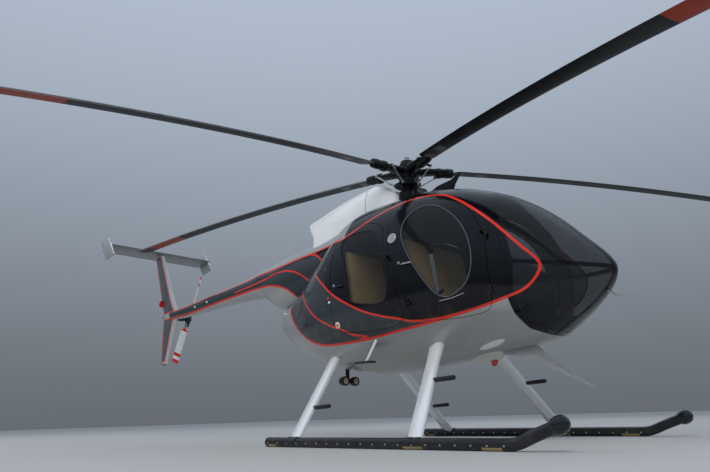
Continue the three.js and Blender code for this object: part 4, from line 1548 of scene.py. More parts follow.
    def handle(self, which: str, label: str, side: int, body: Body) -> None:
        """Makes a door's outer handle with its lock.

        Args:
            which: Front or rear.
            label: The side's name.
            side: RIGHT or LEFT.
            body: What the pieces ride on.
        """
        x, z = (0.562, 1.452) if which == "front" else (-0.236, 1.384)
        y = self.hull.skin(x, z)
        grip = Former.pipe(f"handle_{which}_{label}", [
            (x - 0.052, side * (y - 0.004), z), (x - 0.05, side * (y + 0.012), z),
            (x - 0.03, side * (y + 0.02), z), (x + 0.03, side * (y + 0.02), z),
            (x + 0.05, side * (y + 0.012), z), (x + 0.052, side * (y - 0.004), z),
        ], 0.0075, 12)
        lock = Former.bar(f"lock_{which}_{label}", (x - 0.085, side * (y - 0.006), z + 0.02),
                          (x - 0.085, side * (y + 0.004), z + 0.02), 0.013, edge=0.002)
        self.shop.add(grip, Slot.ALLOY, BARE_METAL if which == "front" else HUB_BLACK, angle=50, body=body)
        self.shop.add(lock, Slot.ALLOY, BARE_METAL, body=body)

    def hinge(self, name: str, side: int, body: Body, leaf: np.ndarray, line: tuple[float, float, float],
              z: float) -> None:
        """Makes one hinge: a bored knuckle on the skin, and the door's knuckle with its pin.

        Args:
            name: The hinge's name.
            side: RIGHT or LEFT.
            body: What the pieces ride on.
            leaf: The door's outline.
            line: The hinge line's station, distance from the middle and lean.
            z: The hinge's height.
        """
        x, y, lean = line

        def at(height: float) -> tuple[float, float, float]:
            """Gives the hinge line's place at a height."""
            return x + (height - 1.37) * lean, side * y, height

        def edge(height: float) -> float:
            """Gives the station of the leaf's front edge at a height."""
            pairs = [(a, b) for a, b in zip(leaf, np.roll(leaf, -1, axis=0)) if a[1] != b[1]]
            return max(
                a[0] + (b[0] - a[0]) * (height - a[1]) / (b[1] - a[1])
                for a, b in pairs if (a[1] - height) * (b[1] - height) <= 0
            )

        fixed_x, moving_x = edge(z - 0.022) + 0.032, edge(z + 0.012) - 0.026
        fixed_root = (fixed_x, side * (self.hull.skin(fixed_x, z - 0.022) - 0.009), z - 0.022)
        moving_root = (moving_x, side * (self.hull.skin(moving_x, z + 0.012) - 0.009), z + 0.012)
        fixed = Former.bar(f"hinge_fixed_{name}", at(z - 0.036), at(z - 0.008), 0.01, edge=0.0015)
        web = Former.pipe("web", [at(z - 0.022), fixed_root], 0.011, 12, flat=0.4)
        Former.cut(fixed, web, "UNION")
        Former.cut(fixed, Former.bar("tool", at(z - 0.06), at(z + 0.04), 0.0043))
        moving = Former.bar(f"hinge_moving_{name}", at(z - 0.002), at(z + 0.026), 0.01, edge=0.0015)
        Former.cut(moving, Former.pipe("web", [at(z + 0.012), moving_root], 0.011, 12, flat=0.4), "UNION")
        Former.cut(moving, Former.bar("pin", at(z - 0.037), at(z + 0.002), 0.004), "UNION")
        self.shop.add(fixed, Slot.ALLOY, DARK_METAL)
        self.shop.add(moving, Slot.ALLOY, DARK_METAL, body=body)


# Rear body, fairing and boom

BOOM = [
    (-0.35, 1.88, 0.4, 0.335), (-0.6, 1.86, 0.34, 0.325), (-0.9, 1.83, 0.28, 0.305),
    (-1.1, 1.815, 0.25, 0.295), (-1.3, 1.802, 0.226, 0.303), (-1.6, 1.756, 0.222, 0.316),
    (-1.8, 1.742, 0.212, 0.301), (-1.95, 1.754, 0.196, 0.264), (-2.06, 1.781, 0.184, 0.222),
    (-2.2, 1.813, 0.166, 0.174), (-2.4, 1.797, 0.144, 0.147), (-2.9, 1.775, 0.114, 0.115),
    (-3.52, 1.738, 0.095, 0.096), (-4.17, 1.711, 0.074, 0.076), (-4.56, 1.714, 0.05, 0.051),
]
FAIRING = [
    (0.004, 0.03, 2.18, 0.0), (0.0, 0.06, 2.24, 0.0), (-0.012, 0.094, 2.34, 0.0),
    (-0.045, 0.126, 2.41, 0.0), (-0.1, 0.154, 2.452, 0.0), (-0.17, 0.174, 2.5, 0.0),
    (-0.25, 0.184, 2.538, 0.0), (-0.31, 0.186, 2.544, 0.0), (-0.4, 0.186, 2.53, 0.0),
    (-0.65, 0.184, 2.496, 0.0), (-0.92, 0.174, 2.44, 0.0), (-1.11, 0.162, 2.392, -0.05),
    (-1.165, 0.157, 2.37, -0.32), (-1.19, 0.15, 2.358, -0.5),
]
HUB, TILT, MAST_R = (0.067, 0.0, 2.599), math.radians(2.3), 0.032


@dataclass
class RearBody:
    """Rear fuselage with the exhaust and the small fittings on its flanks."""

    shop: Workshop
    hull: Hull

    def build(self, shell: Piece) -> None:
        """Makes the sub-assembly.

        Args:
            shell: The whole skin as a shell.
        """
        skin = Former.crop(Former.copy(shell, "rear_fuselage_skin"), -2.2, FIREWALL_X - 0.001)
        Former.cut(skin, Former.bar("tool", (-1.6, 0, 1.352), (-2.115, 0, 1.33), 0.104, sides=56))
        self.hull.dress(skin)
        self.shop.livery.store(skin)
        self.shop.fit(skin, Body.AIRFRAME, Slot.SILVER, (self.shop.paint, SOOT), ["rear_fuselage"])
        self.exhaust()
        self.flank()

    def exhaust(self) -> None:
        """Makes the exhaust pipe, hollow from its rolled lip, and the seal round it."""
        pipe = Former.lathe("exhaust_pipe_tube", (-1.1805, 0, 1.37), (-0.696, 0, -0.03), [
            (0.0, 0.0), (0.0, 0.084), (0.24, 0.084), (0.57, 0.083), (0.596, 0.084), (0.601, 0.0835),
            (0.603, 0.081), (0.6, 0.0785), (0.38, 0.0765), (0.38, 0.0)])
        self.shop.add(pipe, Slot.STEEL, HOT_STEEL, "exhaust_pipe", angle=40)
        rim = Former.lathe("exhaust_seal", (-1.752, 0, 1.3453), (-0.696, 0, -0.03), [
            (0, 0.0845), (0, 0.092), (0.004, 0.096), (0.009, 0.096), (0.012, 0.09), (0.012, 0.0845),
            (0, 0.0845)], 56)
        self.shop.add(rim, Slot.STEEL, SOOT, angle=60)

    def flank(self) -> None:
        """Sets fittings, vents, catches and rivets on both flanks."""
        for side, label in SIDES:
            place, out = self.hull.seat(side, -0.32, 1.04, -0.004)
            cap = Former.lathe(f"filler_rim_{label}", place, out,
                               [(0, 0), (0, 0.03), (0.006, 0.03), (0.007, 0.022), (0.007, 0)])
            self.shop.add(cap, Slot.WHITE, WHITE_PAINT)
            dot = Former.lathe(f"filler_cap_{label}", place + out * 0.005, out,
                               [(0, 0), (0, 0.018), (0.006, 0.017), (0.008, 0.012), (0.008, 0)])
            self.shop.add(dot, Slot.WHITE, ORANGE_CAP)
            place, out = self.hull.seat(side, -0.83, 1.11, -0.003)
            drain = Former.lathe(f"drain_{label}", place, out, [(0, 0), (0, 0.018), (0.009, 0.016),
                (0.009, 0.01), (0.002, 0.009), (0.002, 0)])
            self.shop.add(drain, Slot.ALLOY, DARK_METAL)
            slats = []
            for k in range(5):
                start, _ = self.hull.seat(side, -1.0 - 0.012 * k, 1.345 - 0.026 * k, -0.001)
                end, _ = self.hull.seat(side, -0.88 - 0.012 * k, 1.345 - 0.026 * k, -0.001)
                slats.append(Former.pipe("slat", [start, (start + end) / 2 * (1, 1.001, 1), end], 0.0055, 10,
                                         flat=0.6))
            self.shop.add(Former.merged(f"vent_{label}", *slats), Slot.SLATE, SOOT, angle=60)
            heads = []
            rows = [(-0.5, 0.95 + 0.13 * k) for k in range(9)] + [(-1.08, 1.02 + 0.12 * k) for k in range(7)]
            for x, z in rows:
                place, out = self.hull.seat(side, x, z, -0.0012)
                heads.append(Former.lathe("rivet", place, out, [(0, 0), (0, 0.0055), (0.0016, 0.005),
                    (0.0026, 0.002), (0.0027, 0)], 12))
            self.shop.add(Former.merged(f"rivets_{label}", *heads), Slot.ALLOY, GREY_PAINT, angle=60)
            place, out = self.hull.seat(side, -1.53, 1.337, -0.004)
            self.shop.add(Former.lens(f"rear_light_{label}", place, out, 0.012), Slot.WHITE, WHITE_LENS,
                          angle=50)
            for k, (x, z) in enumerate([(-0.4, 1.26), (-0.415, 1.3), (-0.4, 1.72)]):
                place, out = self.hull.seat(side, x, z, -0.002)
                catch = Former.lathe(f"catch_{label}_{k}", place, out, [(0, 0), (0, 0.013), (0.006, 0.012),
                    (0.007, 0.006), (0.007, 0)])
                self.shop.add(catch, Slot.ALLOY, (WHITE_PAINT, RED_GLOSS, HUB_BLACK)[k])


@dataclass
class MastFairing:
    """The white housing over the gearbox on the roof."""

    shop: Workshop
    base: float = 2.15
    fullness: float = 0.62
    joint_x: float = -0.355

    def build(self, solid: Piece, boom: Piece) -> None:
        """Makes the sub-assembly.

        Args:
            solid: The whole skin as a filled body.
            boom: The boom before it is cut.
        """
        rows = rounded(FAIRING, 90, closed=False)
        arc = np.linspace(0, math.pi, 45)
        rings = []
        for x, half, top, lean in rows:
            rise = (top - self.base) * np.sin(arc) ** self.fullness
            across = half * power(np.cos(arc), self.fullness)
            curve = np.stack([x + lean * rise, across, self.base + rise], 1)
            sides = np.linspace(2.13, 1.9, 8)
            left = np.stack([np.full(8, x), np.full(8, -half), sides], 1)
            right = np.stack([np.full(8, x), np.full(8, half), sides[::-1]], 1)
            rings.append(np.vstack([curve, left, right]))
        body = Former.sheath("mast_fairing_cover", rings)
        Former.cut(body, solid, keep=True)
        Former.cut(body, boom, keep=True)
        well = Former.bar("tool", rotor_spot(0, 0, -0.6), rotor_spot(0, 0, 0), MAST_R + 0.0283, sides=56)
        Former.cut(body, well)
        self.shop.add(body, Slot.WHITE, WHITE_PAINT, "mast_fairing", angle=38)
        up = rotor_spot(0, 0, 1) - rotor_spot(0, 0, 0)
        collar = Former.lathe("mast_collar", rotor_spot(0, 0, -0.182), up, [
            (0, 0.0585), (0, 0.074), (0.004, 0.078), (0.013, 0.078), (0.017, 0.072), (0.017, 0.0585),
            (0, 0.0585)], 48)
        self.shop.add(collar, Slot.BLACK, RUBBER, angle=60)
        half, top, _ = station(FAIRING, self.joint_x)
        arc = np.linspace(0.06, math.pi - 0.06, 60)
        rise = (top - self.base) * np.sin(arc) ** self.fullness
        path = np.stack([np.full(60, self.joint_x), half * power(np.cos(arc), self.fullness),
                         self.base + rise], 1)
        seam = Former.pipe("mast_fairing_seam", path, 0.0035, 8)
        self.shop.add(seam, Slot.WHITE, GREY_PAINT, angle=60)
        for side, _ in SIDES:
            for k in range(6):
                x = -0.17 - 0.17 * k
                half, top, _ = station(FAIRING, x)
                z = 2.235 if k else 2.25
                share = min(1.0, ((z - self.base) / (top - self.base)) ** (1 / self.fullness))
                y = half * (1 - share**2) ** (self.fullness / 2)
                screw = Former.lathe(f"fairing_screw_{side + 1}_{k}", (x, side * (y - 0.0015), z),
                                     (0, side, 0.1),
                                     [(0, 0), (0, 0.007), (0.003, 0.0065), (0.003, 0)], 16)
                self.shop.add(screw, Slot.ALLOY, BARE_METAL)


@dataclass
class TailBoom:
    """Boom, fins, stabiliser and tail gearbox."""

    shop: Workshop
    half_span: float = 0.812
    chord: float = 0.336
    height: float = 2.69
    incidence: float = -9

    def shape(self) -> Piece:
        """Builds the boom before it is cut.

        Returns:
            The piece.
        """
        rows = rounded(BOOM, 110, closed=False)
        angle = np.linspace(0, 2 * math.pi, 72, endpoint=False)
        rings = []
        for x, z, half, tall in rows:
            rings.append(np.stack([np.full(72, x), half * np.cos(angle), z + tall * np.sin(angle)], 1))
        return Former.sheath("tail_boom_tube", rings)

    def build(self, boom: Piece, solid: Piece) -> None:
        """Makes the sub-assembly.

        Args:
            boom: The boom before it is cut.
            solid: The whole skin as a filled body.
        """
        Former.cut(boom, solid, keep=True)
        Former.cut(boom, Former.block("tool", (-4.9, -0.3, 1.2), (-4.392, 0.3, 2.2), 0))
        Former.smooth(boom, 40)
        self.shop.livery.store(boom, BOOM_ZONES)
        self.shop.fit(boom, Body.AIRFRAME, Slot.SILVER, self.shop.paint, ["tail_boom"])
        for k, (x, z) in enumerate(((-3.36, 1.747), (-3.664, 1.723))):
            middle, half, tall = station(BOOM, x)
            rise = (z - middle) / tall
            lamp = Former.lens(f"boom_light_{k}", (x, -half * math.sqrt(1 - rise**2) + 0.003, z),
                               (0, -1, 0.6 * rise), 0.012)
            self.shop.add(lamp, Slot.WHITE, WHITE_LENS, angle=50)
        self.fins()
        self.stabiliser()
        self.gearbox()

    def fin(self, name: str, rows: Outline, panel: Outline, node: str) -> None:
        """Lofts a fin through rows of height, front, rear and thickness.

        Args:
            name: The piece's name.
            rows: Height, front, rear and thickness, from root to tip.
            panel: Outline of the painted panel.
            node: The node that it replaces.
        """
        path = rounded(rows, 60, closed=False)
        section = foil(1.0, 24)
        rings = []
        for z, front, rear, thick in path:
            chord = front - rear
            rings.append(np.stack([front + section[:, 0] * chord, section[:, 1] * thick,
                                   np.full(len(section), z)], 1))
        last = np.array(rings[-1])
        rise = math.copysign(1, rows[-1][0] - rows[0][0])
        for share, up in ((0.86, 0.006), (0.62, 0.011), (0.3, 0.0135)):
            ring = last.copy()
            ring[:, 1] *= share
            ring[:, 2] += rise * up
            rings.append(ring)
        piece = Former.sheath(name, rings)
        Former.store(piece, "panel", signed_distance(Former.spots(piece)[:, [0, 2]], rounded(panel, 160)))
        self.shop.add(piece, Slot.SLATE, FinPaint(), node, angle=40)

    def fins(self) -> None:
        """Makes the upper and lower fins."""
        self.fin("upper_fin_blade", [
            (1.69, -4.244, -4.642, 0.052), (1.745, -4.252, -4.648, 0.052), (2.0, -4.402, -4.745, 0.05),
            (2.35, -4.585, -4.874, 0.046), (2.655, -4.748, -4.98, 0.042),
        ], [
            (-4.338, 1.752), (-4.5, 1.752), (-4.64, 1.752), (-4.664, 1.8), (-4.739, 2.0), (-4.803, 2.17),
            (-4.869, 2.35), (-4.929, 2.52), (-4.972, 2.645), (-4.967, 2.662), (-4.91, 2.664),
            (-4.82, 2.664), (-4.803, 2.648), (-4.724, 2.5), (-4.643, 2.35), (-4.562, 2.18), (-4.476, 2.0),
            (-4.405, 1.87),
        ], "upper_fin")
        self.fin("lower_fin_blade", [
            (1.72, -4.244, -4.642, 0.051), (1.675, -4.25, -4.646, 0.05), (1.56, -4.296, -4.652, 0.05),
            (1.3, -4.386, -4.652, 0.042), (1.034, -4.478, -4.648, 0.034),
        ], [
            (-4.345, 1.672), (-4.5, 1.672), (-4.638, 1.672), (-4.646, 1.6), (-4.647, 1.36), (-4.645, 1.12),
            (-4.636, 1.062), (-4.57, 1.052), (-4.525, 1.06), (-4.502, 1.12), (-4.452, 1.28),
            (-4.405, 1.46), (-4.36, 1.6),
        ], "lower_fin")
        guard = Former.pipe("tail_skid", [(-4.5, 0, 1.034), (-4.555, 0, 1.012), (-4.61, 0, 1.022),
            (-4.636, 0, 1.05)], 0.009, 12)
        self.shop.add(guard, Slot.BLACK, HUB_BLACK, angle=60)
        knob = Former.lens("fin_light", (-4.7, 0, 1.915), (-1, 0, 0.1), 0.048)
        self.shop.add(knob, Slot.WHITE, RED_LENS, angle=60)

    def stabiliser(self) -> None:
        """Makes the stabiliser across the upper fin, with its end plates and root bracket."""
        section = foil(0.042 / self.chord, 24)
        rings = []
        for y in np.linspace(-self.half_span, self.half_span, 41):
            across = np.full(len(section), y)
            ring = [-4.752 + section[:, 0] * self.chord, across, self.height + section[:, 1] * self.chord]
            rings.append(np.stack(ring, 1))
        there, back = Matrix.Translation((-4.9, 0, self.height)), Matrix.Translation((4.9, 0, -self.height))
        raised = there @ Matrix.Rotation(math.radians(self.incidence), 4, "Y") @ back
        shift = Matrix.Translation(Vector(DATUM))
        wing = Former.sheath("stabiliser_wing", rings)
        wing.data.transform(shift @ raised @ shift.inverted())
        self.shop.add(wing, Slot.SILVER, STABILISER_GREY, "stabiliser", angle=40)
        plate = rounded([
            (-4.69, 2.56), (-4.79, 2.7), (-4.905, 2.838), (-5.02, 2.842), (-5.13, 2.822), (-5.03, 2.66),
            (-4.925, 2.512), (-4.8, 2.53)], 40)
        for side, label in SIDES:
            fin = Former.soften(Former.prism(f"end_plate_{label}", plate, side * 0.805, side * 0.819), 0.004)
            self.shop.add(fin, Slot.SILVER, GREY_PAINT)
            y = side * self.half_span
            path = [(-4.69, y, 2.562), (-4.792, y, 2.7), (-4.903, y, 2.834)]
            edge = Former.pipe(f"end_plate_edge_{label}", path, 0.0085, 12)
            self.shop.add(edge, Slot.WHITE, WHITE_PAINT, angle=60)
        saddle = Former.block("stabiliser_saddle", (-5.02, -0.032, 2.66), (-4.8, 0.032, 2.7), 0.014)
        self.shop.add(saddle, Slot.SLATE, GREY_PAINT)

    def gearbox(self) -> None:
        """Makes the tail gearbox."""
        x, z = TailRotor.AXIS[0], TailRotor.AXIS[2]
        case = Former.lathe("tail_gearbox_case", (-4.5605, 0.072, 1.714), (-1, 0, 0), [
            (-0.2, 0), (-0.2, 0.062), (-0.176, 0.062), (-0.172, 0.052), (-0.004, 0.052), (0, 0.056),
            (0.012, 0.056), (0.014, 0.044), (0.05, 0.046), (0.085, 0.05), (0.12, 0.05), (0.135, 0.044),
            (0.146, 0.03), (0.15, 0.0)], 48)
        Former.cut(case, Former.lathe("drive", (x, 0, z), (0, 1, 0), [
            (0.016, 0), (0.016, 0.026), (0.022, 0.036), (0.05, 0.052), (0.075, 0.04), (0.1, 0.034),
            (0.33, 0.034), (0.34, 0.03), (0.34, 0.0155), (0.446, 0.0145), (0.446, 0)], 40), "UNION")
        self.shop.add(case, Slot.ALLOY, DARK_METAL, "tail_gearbox")
        bolts = []
        for k in range(8):
            turn = math.tau * k / 8
            across, up = 0.072 + 0.05 * math.cos(turn), 1.714 + 0.05 * math.sin(turn)
            foot, head = (-4.572, across, up), (-4.579, across, up)
            bolts.append(Former.bar("bolt", foot, head, 0.005, sides=6, edge=0.0008))
        self.shop.add(Former.merged("gearbox_bolts", *bolts), Slot.ALLOY, BARE_METAL)
        sight = Former.lathe("gearbox_sight", (x, 0.072, z - 0.045), (0, -0.4, -1),
                             [(0, 0), (0.018, 0.014), (0.024, 0.014), (0.026, 0.009), (0.026, 0)])
        self.shop.add(sight, Slot.ALLOY, BARE_METAL)


@dataclass
class TailRotor:
    """Two-blade tail rotor on the port side."""

    shop: Workshop
    AXIS = (-4.67, 0.43, 1.715)
    turn: float = math.radians(63.7)
    chord: float = 0.125
    pitch: float = math.radians(24)

    def spot(self, r: float, across: float, up: float) -> np.ndarray:
        """Turns a place along a blade into one from the datum.

        Args:
            r: Distance from the hub.
            across: Distance outboard.
            up: Distance square to the blade.

        Returns:
            The place.
        """
        c, s = math.cos(self.turn), math.sin(self.turn)
        x, y, z = self.AXIS
        return np.array([x + r * c - up * s, y + across, z + r * s + up * c])

    def build(self) -> None:
        """Makes the sub-assembly."""
        x, y, z = self.AXIS
        hub = Former.lathe("tail_rotor_hub_body", (x, y, z), (0, 1, 0), [
            (-0.05, 0.0155), (-0.05, 0.038), (-0.044, 0.044), (0.012, 0.044), (0.022, 0.04), (0.03, 0.026),
            (0.03, 0.0), (0.0165, 0.0), (0.0165, 0.0155), (-0.05, 0.0155)], 40)
        Former.cut(hub, Former.bar("yoke", self.spot(-0.11, 0, 0), self.spot(0.11, 0, 0), 0.029, edge=0.006),
                   "UNION")
        Former.cut(hub, Former.bar("tool", (x, y - 0.2, z), (x, y + 0.0163, z), 0.0155))
        self.shop.add(hub, Slot.ROTOR, DARK_METAL, "tail_rotor_hub", body=Body.TAIL_ROTOR)
        white, red = (0.78, 0.78, 0.76), (0.7, 0.03, 0.02)
        bands = ((0.645, 0.8, red), (0.545, 0.595, red), (0.0, 0.19, red))
        paint = BladePaint("tail blade paint", white, bands)
        section = foil(0.11, 22)
        for number, way in ((1, 1), (2, -1)):
            rings = []
            stations = [(0.112, 0.3, 1.4), (0.14, 0.32, 1.3), (0.165, 0.62, 1.1), (0.19, 0.93, 1.0),
                        (0.21, 1.0, 1.0)]
            stations += [(r, 1.0, 1.0) for r in np.linspace(0.24, 0.68, 16)]
            stations += [(0.692, 0.97, 0.9), (0.698, 0.9, 0.6), (0.6995, 0.8, 0.3)]
            for r, wide, thick in stations:
                across = section[:, 1] * self.chord * thick
                lead = (section[:, 0] * wide + 0.32 * wide) * self.chord
                out = across * math.cos(self.pitch) + lead * math.sin(self.pitch)
                up = way * (lead * math.cos(self.pitch) - across * math.sin(self.pitch))
                rings.append([self.spot(way * r, a, b) for a, b in zip(out, up)])
            blade = Former.sheath(f"tail_blade_{number}_foil", rings)
            self.mark(blade, way)
            self.shop.add(blade, Slot.WHITE, paint, f"tail_blade_{number}", angle=40, body=Body.TAIL_ROTOR)
            link = Former.rod(f"tail_pitch_link_{number}", self.spot(way * 0.05, -0.045, way * 0.045),
                              self.spot(way * 0.165, 0.0, way * 0.028), 0.006)
            self.shop.add(link, Slot.ROTOR, BARE_METAL, body=Body.TAIL_ROTOR)

    def mark(self, blade: Piece, way: int) -> None:
        """Stores each point's distance from the hub, for the painted bands.

        Args:
            blade: The blade.
            way: 1 or -1, the way that it points.
        """
        local = Former.spots(blade) - np.array(self.AXIS)
        reach = way * (local[:, 0] * math.cos(self.turn) + local[:, 2] * math.sin(self.turn))
        Former.store(blade, "reach", reach)
        Former.store(blade, "chord", np.full(len(reach), 0.5))


def rotor_spot(x: float, y: float, h: float) -> np.ndarray:
    """Turns a place in the tilted rotor's own frame into one from the datum."""
    c, s = math.cos(TILT), math.sin(TILT)
    return np.array(HUB) + np.array([x * c + h * s, y, -x * s + h * c])


@dataclass
class MainRotor:
    """Mast, swashplate, articulated hub and five drooping blades."""

    shop: Workshop
    azimuth: float = math.radians(190.7)
    radius: float = 4.025
    chord: float = 0.171
    lag: float = math.radians(1.26)
    droop: float = 0.308
    cone: float = 0.0077
    cyclic: float = math.radians(7)
    cyclic_at: float = math.radians(81)

    def spin(self, k: int, r: float, s: float, h: float) -> np.ndarray:
        """Gives a place by its reach, side and height on one of the hub's arms."""
        a = self.azimuth + math.tau * k / 5
        return rotor_spot(r * math.cos(a) - s * math.sin(a), r * math.sin(a) + s * math.cos(a), h)

    def build(self) -> None:
        """Makes the sub-assembly."""
        up = rotor_spot(0, 0, 1) - rotor_spot(0, 0, 0)
        centre = rotor_spot(0, 0, 0)
        self.mast(centre, up)
        self.hub(centre, up)
        base = self.blade()
        # The tip red is darkened well below the livery red as painted shade, standing for the shade on the
        # blades' undersides.
        tip, grey = (0.3, 0.032, 0.01), (0.13, 0.135, 0.13)
        bands = ((3.26, 3.8, tip), (0.5, 0.57, grey), (0.7, 0.8, grey))
        paint = BladePaint("main blade paint", (0.004, 0.0045, 0.006), bands, True)
        for k in range(5):
            piece = self.bend(base, k)
            ends = self.spin(k, 0.3, 0, -0.002), self.spin(k, 0.4703, 0, -0.005)
            Former.cut(piece, Former.bar("tool", *ends, 0.0463, 0.0383))
            self.shop.add(piece, Slot.BLADE, paint, f"main_blade_{k + 1}", angle=40, body=Body.ROTOR)
        bpy.data.objects.remove(base)

    def mast(self, centre: np.ndarray, up: np.ndarray) -> None:
        """Makes the standing mast inside the hub.

        Args:
            centre: The hub's middle, from the datum.
            up: The mast's direction.
        """
        mast = Former.lathe("rotor_mast_tube", centre, up, [
            (-0.52, 0), (-0.52, 0.058), (-0.185, 0.058), (-0.178, 0.054), (-0.175, 0.034),
            (-0.168, MAST_R), (0.056, MAST_R), (0.06, MAST_R - 0.004), (0.06, 0)], 48)
        self.shop.add(mast, Slot.ROTOR, HUB_BLACK, "rotor_mast")
        self.servos(up)

    def servos(self, up: np.ndarray) -> None:
        """Stands three servos round the mast, between the roof and the swashplate.

        Args:
            up: The mast's direction.
        """
        pieces = []
        for angle in (-78, 2, 82):
            c, s = wheel(angle)
            foot = rotor_spot(0.112 * c, 0.112 * s, -0.352)
            pieces.append(Former.lathe("servo", foot, up, [
                (0, 0), (0, 0.024), (0.016, 0.024), (0.02, 0.031), (0.034, 0.034), (0.105, 0.034),
                (0.112, 0.029), (0.117, 0.014), (0.15, 0.012), (0.153, 0.018), (0.166, 0.02),
                (0.182, 0.015), (0.184, 0)], 28))
        self.shop.add(Former.merged("rotor_servos", *pieces), Slot.ROTOR, HUB_BLACK)

    def hub(self, centre: np.ndarray, up: np.ndarray) -> None:
        """Makes the hub with its arms, grips, dampers, links and cap.

        Args:
            centre: The hub's middle, from the datum.
            up: The mast's direction.
        """
        bore = MAST_R + 0.001
        body = Former.lathe("rotor_hub_body", centre, up, [
            (-0.116, bore), (-0.116, 0.072), (-0.108, 0.082), (-0.07, 0.084), (-0.064, 0.092),
            (-0.03, 0.092), (-0.022, 0.084), (0.018, 0.084), (0.026, 0.092), (0.056, 0.092),
            (0.062, 0.084), (0.062, 0), (0.0605, 0), (0.0605, bore), (-0.116, bore)], 56)
        plate = Former.lathe("swashplate", centre, up, [
            (-0.16, bore), (-0.16, 0.118), (-0.154, 0.128), (-0.147, 0.128), (-0.146, 0.122),
            (-0.143, 0.122), (-0.142, 0.128), (-0.134, 0.128), (-0.128, 0.118), (-0.128, 0.07),
            (-0.118, 0.062), (-0.118, bore), (-0.16, bore)], 64)
        self.shop.add(plate, Slot.ROTOR, HUB_BLACK, body=Body.ROTOR)
        cap = Former.lathe("hub_cap", centre, up, [
            (0.0622, 0), (0.0622, 0.078), (0.072, 0.079), (0.086, 0.074), (0.11, 0.066), (0.12, 0.06),
            (0.122, 0.052), (0.122, 0)], 48)
        self.shop.add(cap, Slot.BLACK, HUB_BLACK, body=Body.ROTOR)
        knob = Former.lathe("hub_lifting_knob", centre, up, [
            (0.1222, 0), (0.1222, 0.034), (0.13, 0.034), (0.134, 0.024), (0.148, 0.022), (0.154, 0.027),
            (0.164, 0.026), (0.171, 0.016), (0.172, 0)], 40)
        self.shop.add(knob, Slot.ALLOY, BARE_METAL, body=Body.ROTOR)
        parts: dict[str, list[Piece]] = {"arms": [], "grips": [], "dampers": [], "links": [], "bolts": []}
        for k in range(5):
            arm = Former.pipe("arm", [self.spin(k, r, 0, 0) for r in (0.06, 0.14, 0.22, 0.335)],
                              [0.078, 0.074, 0.064, 0.048], 20, flat=0.45)
            parts["arms"].append(arm)
            way = self.spin(k, 1, 0, 0) - self.spin(k, 0, 0, 0)
            parts["grips"].append(Former.lathe("grip", self.spin(k, 0, 0, -0.003), way, [
                (0.292, 0), (0.292, 0.04), (0.3, 0.054), (0.34, 0.053), (0.344, 0.048), (0.395, 0.046),
                (0.4, 0.05), (0.445, 0.047), (0.462, 0.044), (0.47, 0.036), (0.47, 0)], 32))
            path = [self.spin(k, 0.3, s, h) for s, h in ((0.02, -0.004), (0.07, -0.01), (0.12, -0.014))]
            parts["grips"].append(Former.pipe("horn", path, [0.02, 0.014, 0.015], 14, flat=0.7))
            parts["links"] += [
                Former.rod("link", self.spin(k, 0.118, 0.062, -0.142), self.spin(k, 0.298, 0.112, -0.018),
                           0.0072),
                Former.knuckle("joint", self.spin(k, 0.118, 0.062, -0.138), up, 0.013),
                Former.knuckle("joint", self.spin(k, 0.298, 0.112, -0.016), up, 0.013),
            ]
            away = self.spin(k, 0.4, -0.064, 0.002) - self.spin(k, 0.15, -0.07, 0.008)
            parts["dampers"].append(Former.lathe("damper", self.spin(k, 0.15, -0.07, 0.008), away, [
                (0, 0), (0, 0.01), (0.02, 0.01), (0.024, 0.017), (0.135, 0.017), (0.14, 0.009),
                (0.235, 0.009), (0.238, 0.013), (0.252, 0.013), (0.252, 0)], 24))
            ends = [self.spin(k, 0.39, -0.078, 0.002), self.spin(k, 0.39, -0.03, 0.001)]
            parts["arms"].append(Former.pipe("bracket", ends, 0.014, 14, flat=0.8))
            for r, s in ((0.205, 0.0), (0.245, 0.0), (0.415, 0.02), (0.415, -0.02)):
                h = 0.019 if r < 0.3 else 0.034
                foot, head = self.spin(k, r, s, h - 0.006), self.spin(k, r, s, h + 0.01)
                parts["bolts"].append(Former.bar("bolt", foot, head, 0.009, sides=6, edge=0.001))
        arms = Former.merged("hub_arms", *parts["arms"])
        self.shop.add(Former.merged("rotor_hub_centre", body, arms), Slot.ROTOR, HUB_BLACK, "rotor_hub",
                      body=Body.ROTOR)
        for name, finish in (("grips", HUB_BLACK), ("dampers", DARK_METAL), ("links", BARE_METAL),
                             ("bolts", BARE_METAL)):
            self.shop.add(Former.merged(f"hub_{name}", *parts[name]), Slot.ROTOR, finish, body=Body.ROTOR)

    def blade(self) -> Piece:
        """Lofts one straight, flat blade: X along it, Y towards its leading edge, Z up.

        Returns:
            The piece.
        """
        section = foil(0.12, 26)
        stations = [(0.44, 0.44, 1.25), (0.462, 0.52, 1.2), (0.48, 0.8, 1.1), (0.5, 0.95, 1.05),
                    (0.53, 1.0, 1.0), (0.6, 1.0, 1.0)]
        stations += [(r, 1.0, 1.0) for r in np.linspace(0.75, 3.9, 54)]
        stations += [(3.96, 0.98, 0.95), (4.0, 0.9, 0.8), (4.016, 0.78, 0.6), (4.025, 0.6, 0.35)]
        rings = []
        for r, wide, thick in stations:
            lead = (section[:, 0] * wide + 0.27 + 0.23 * (wide - 1)) * self.chord
            rings.append(np.stack([np.full(len(section), r), lead, section[:, 1] * self.chord * thick], 1)
                         - DATUM)
        blade = Former.sheath("blade", rings)
        spots = Former.spots(blade) + DATUM
        Former.store(blade, "reach", spots[:, 0].copy())
        Former.store(blade, "chord", (0.27 * self.chord - spots[:, 1]) / self.chord)
        return blade

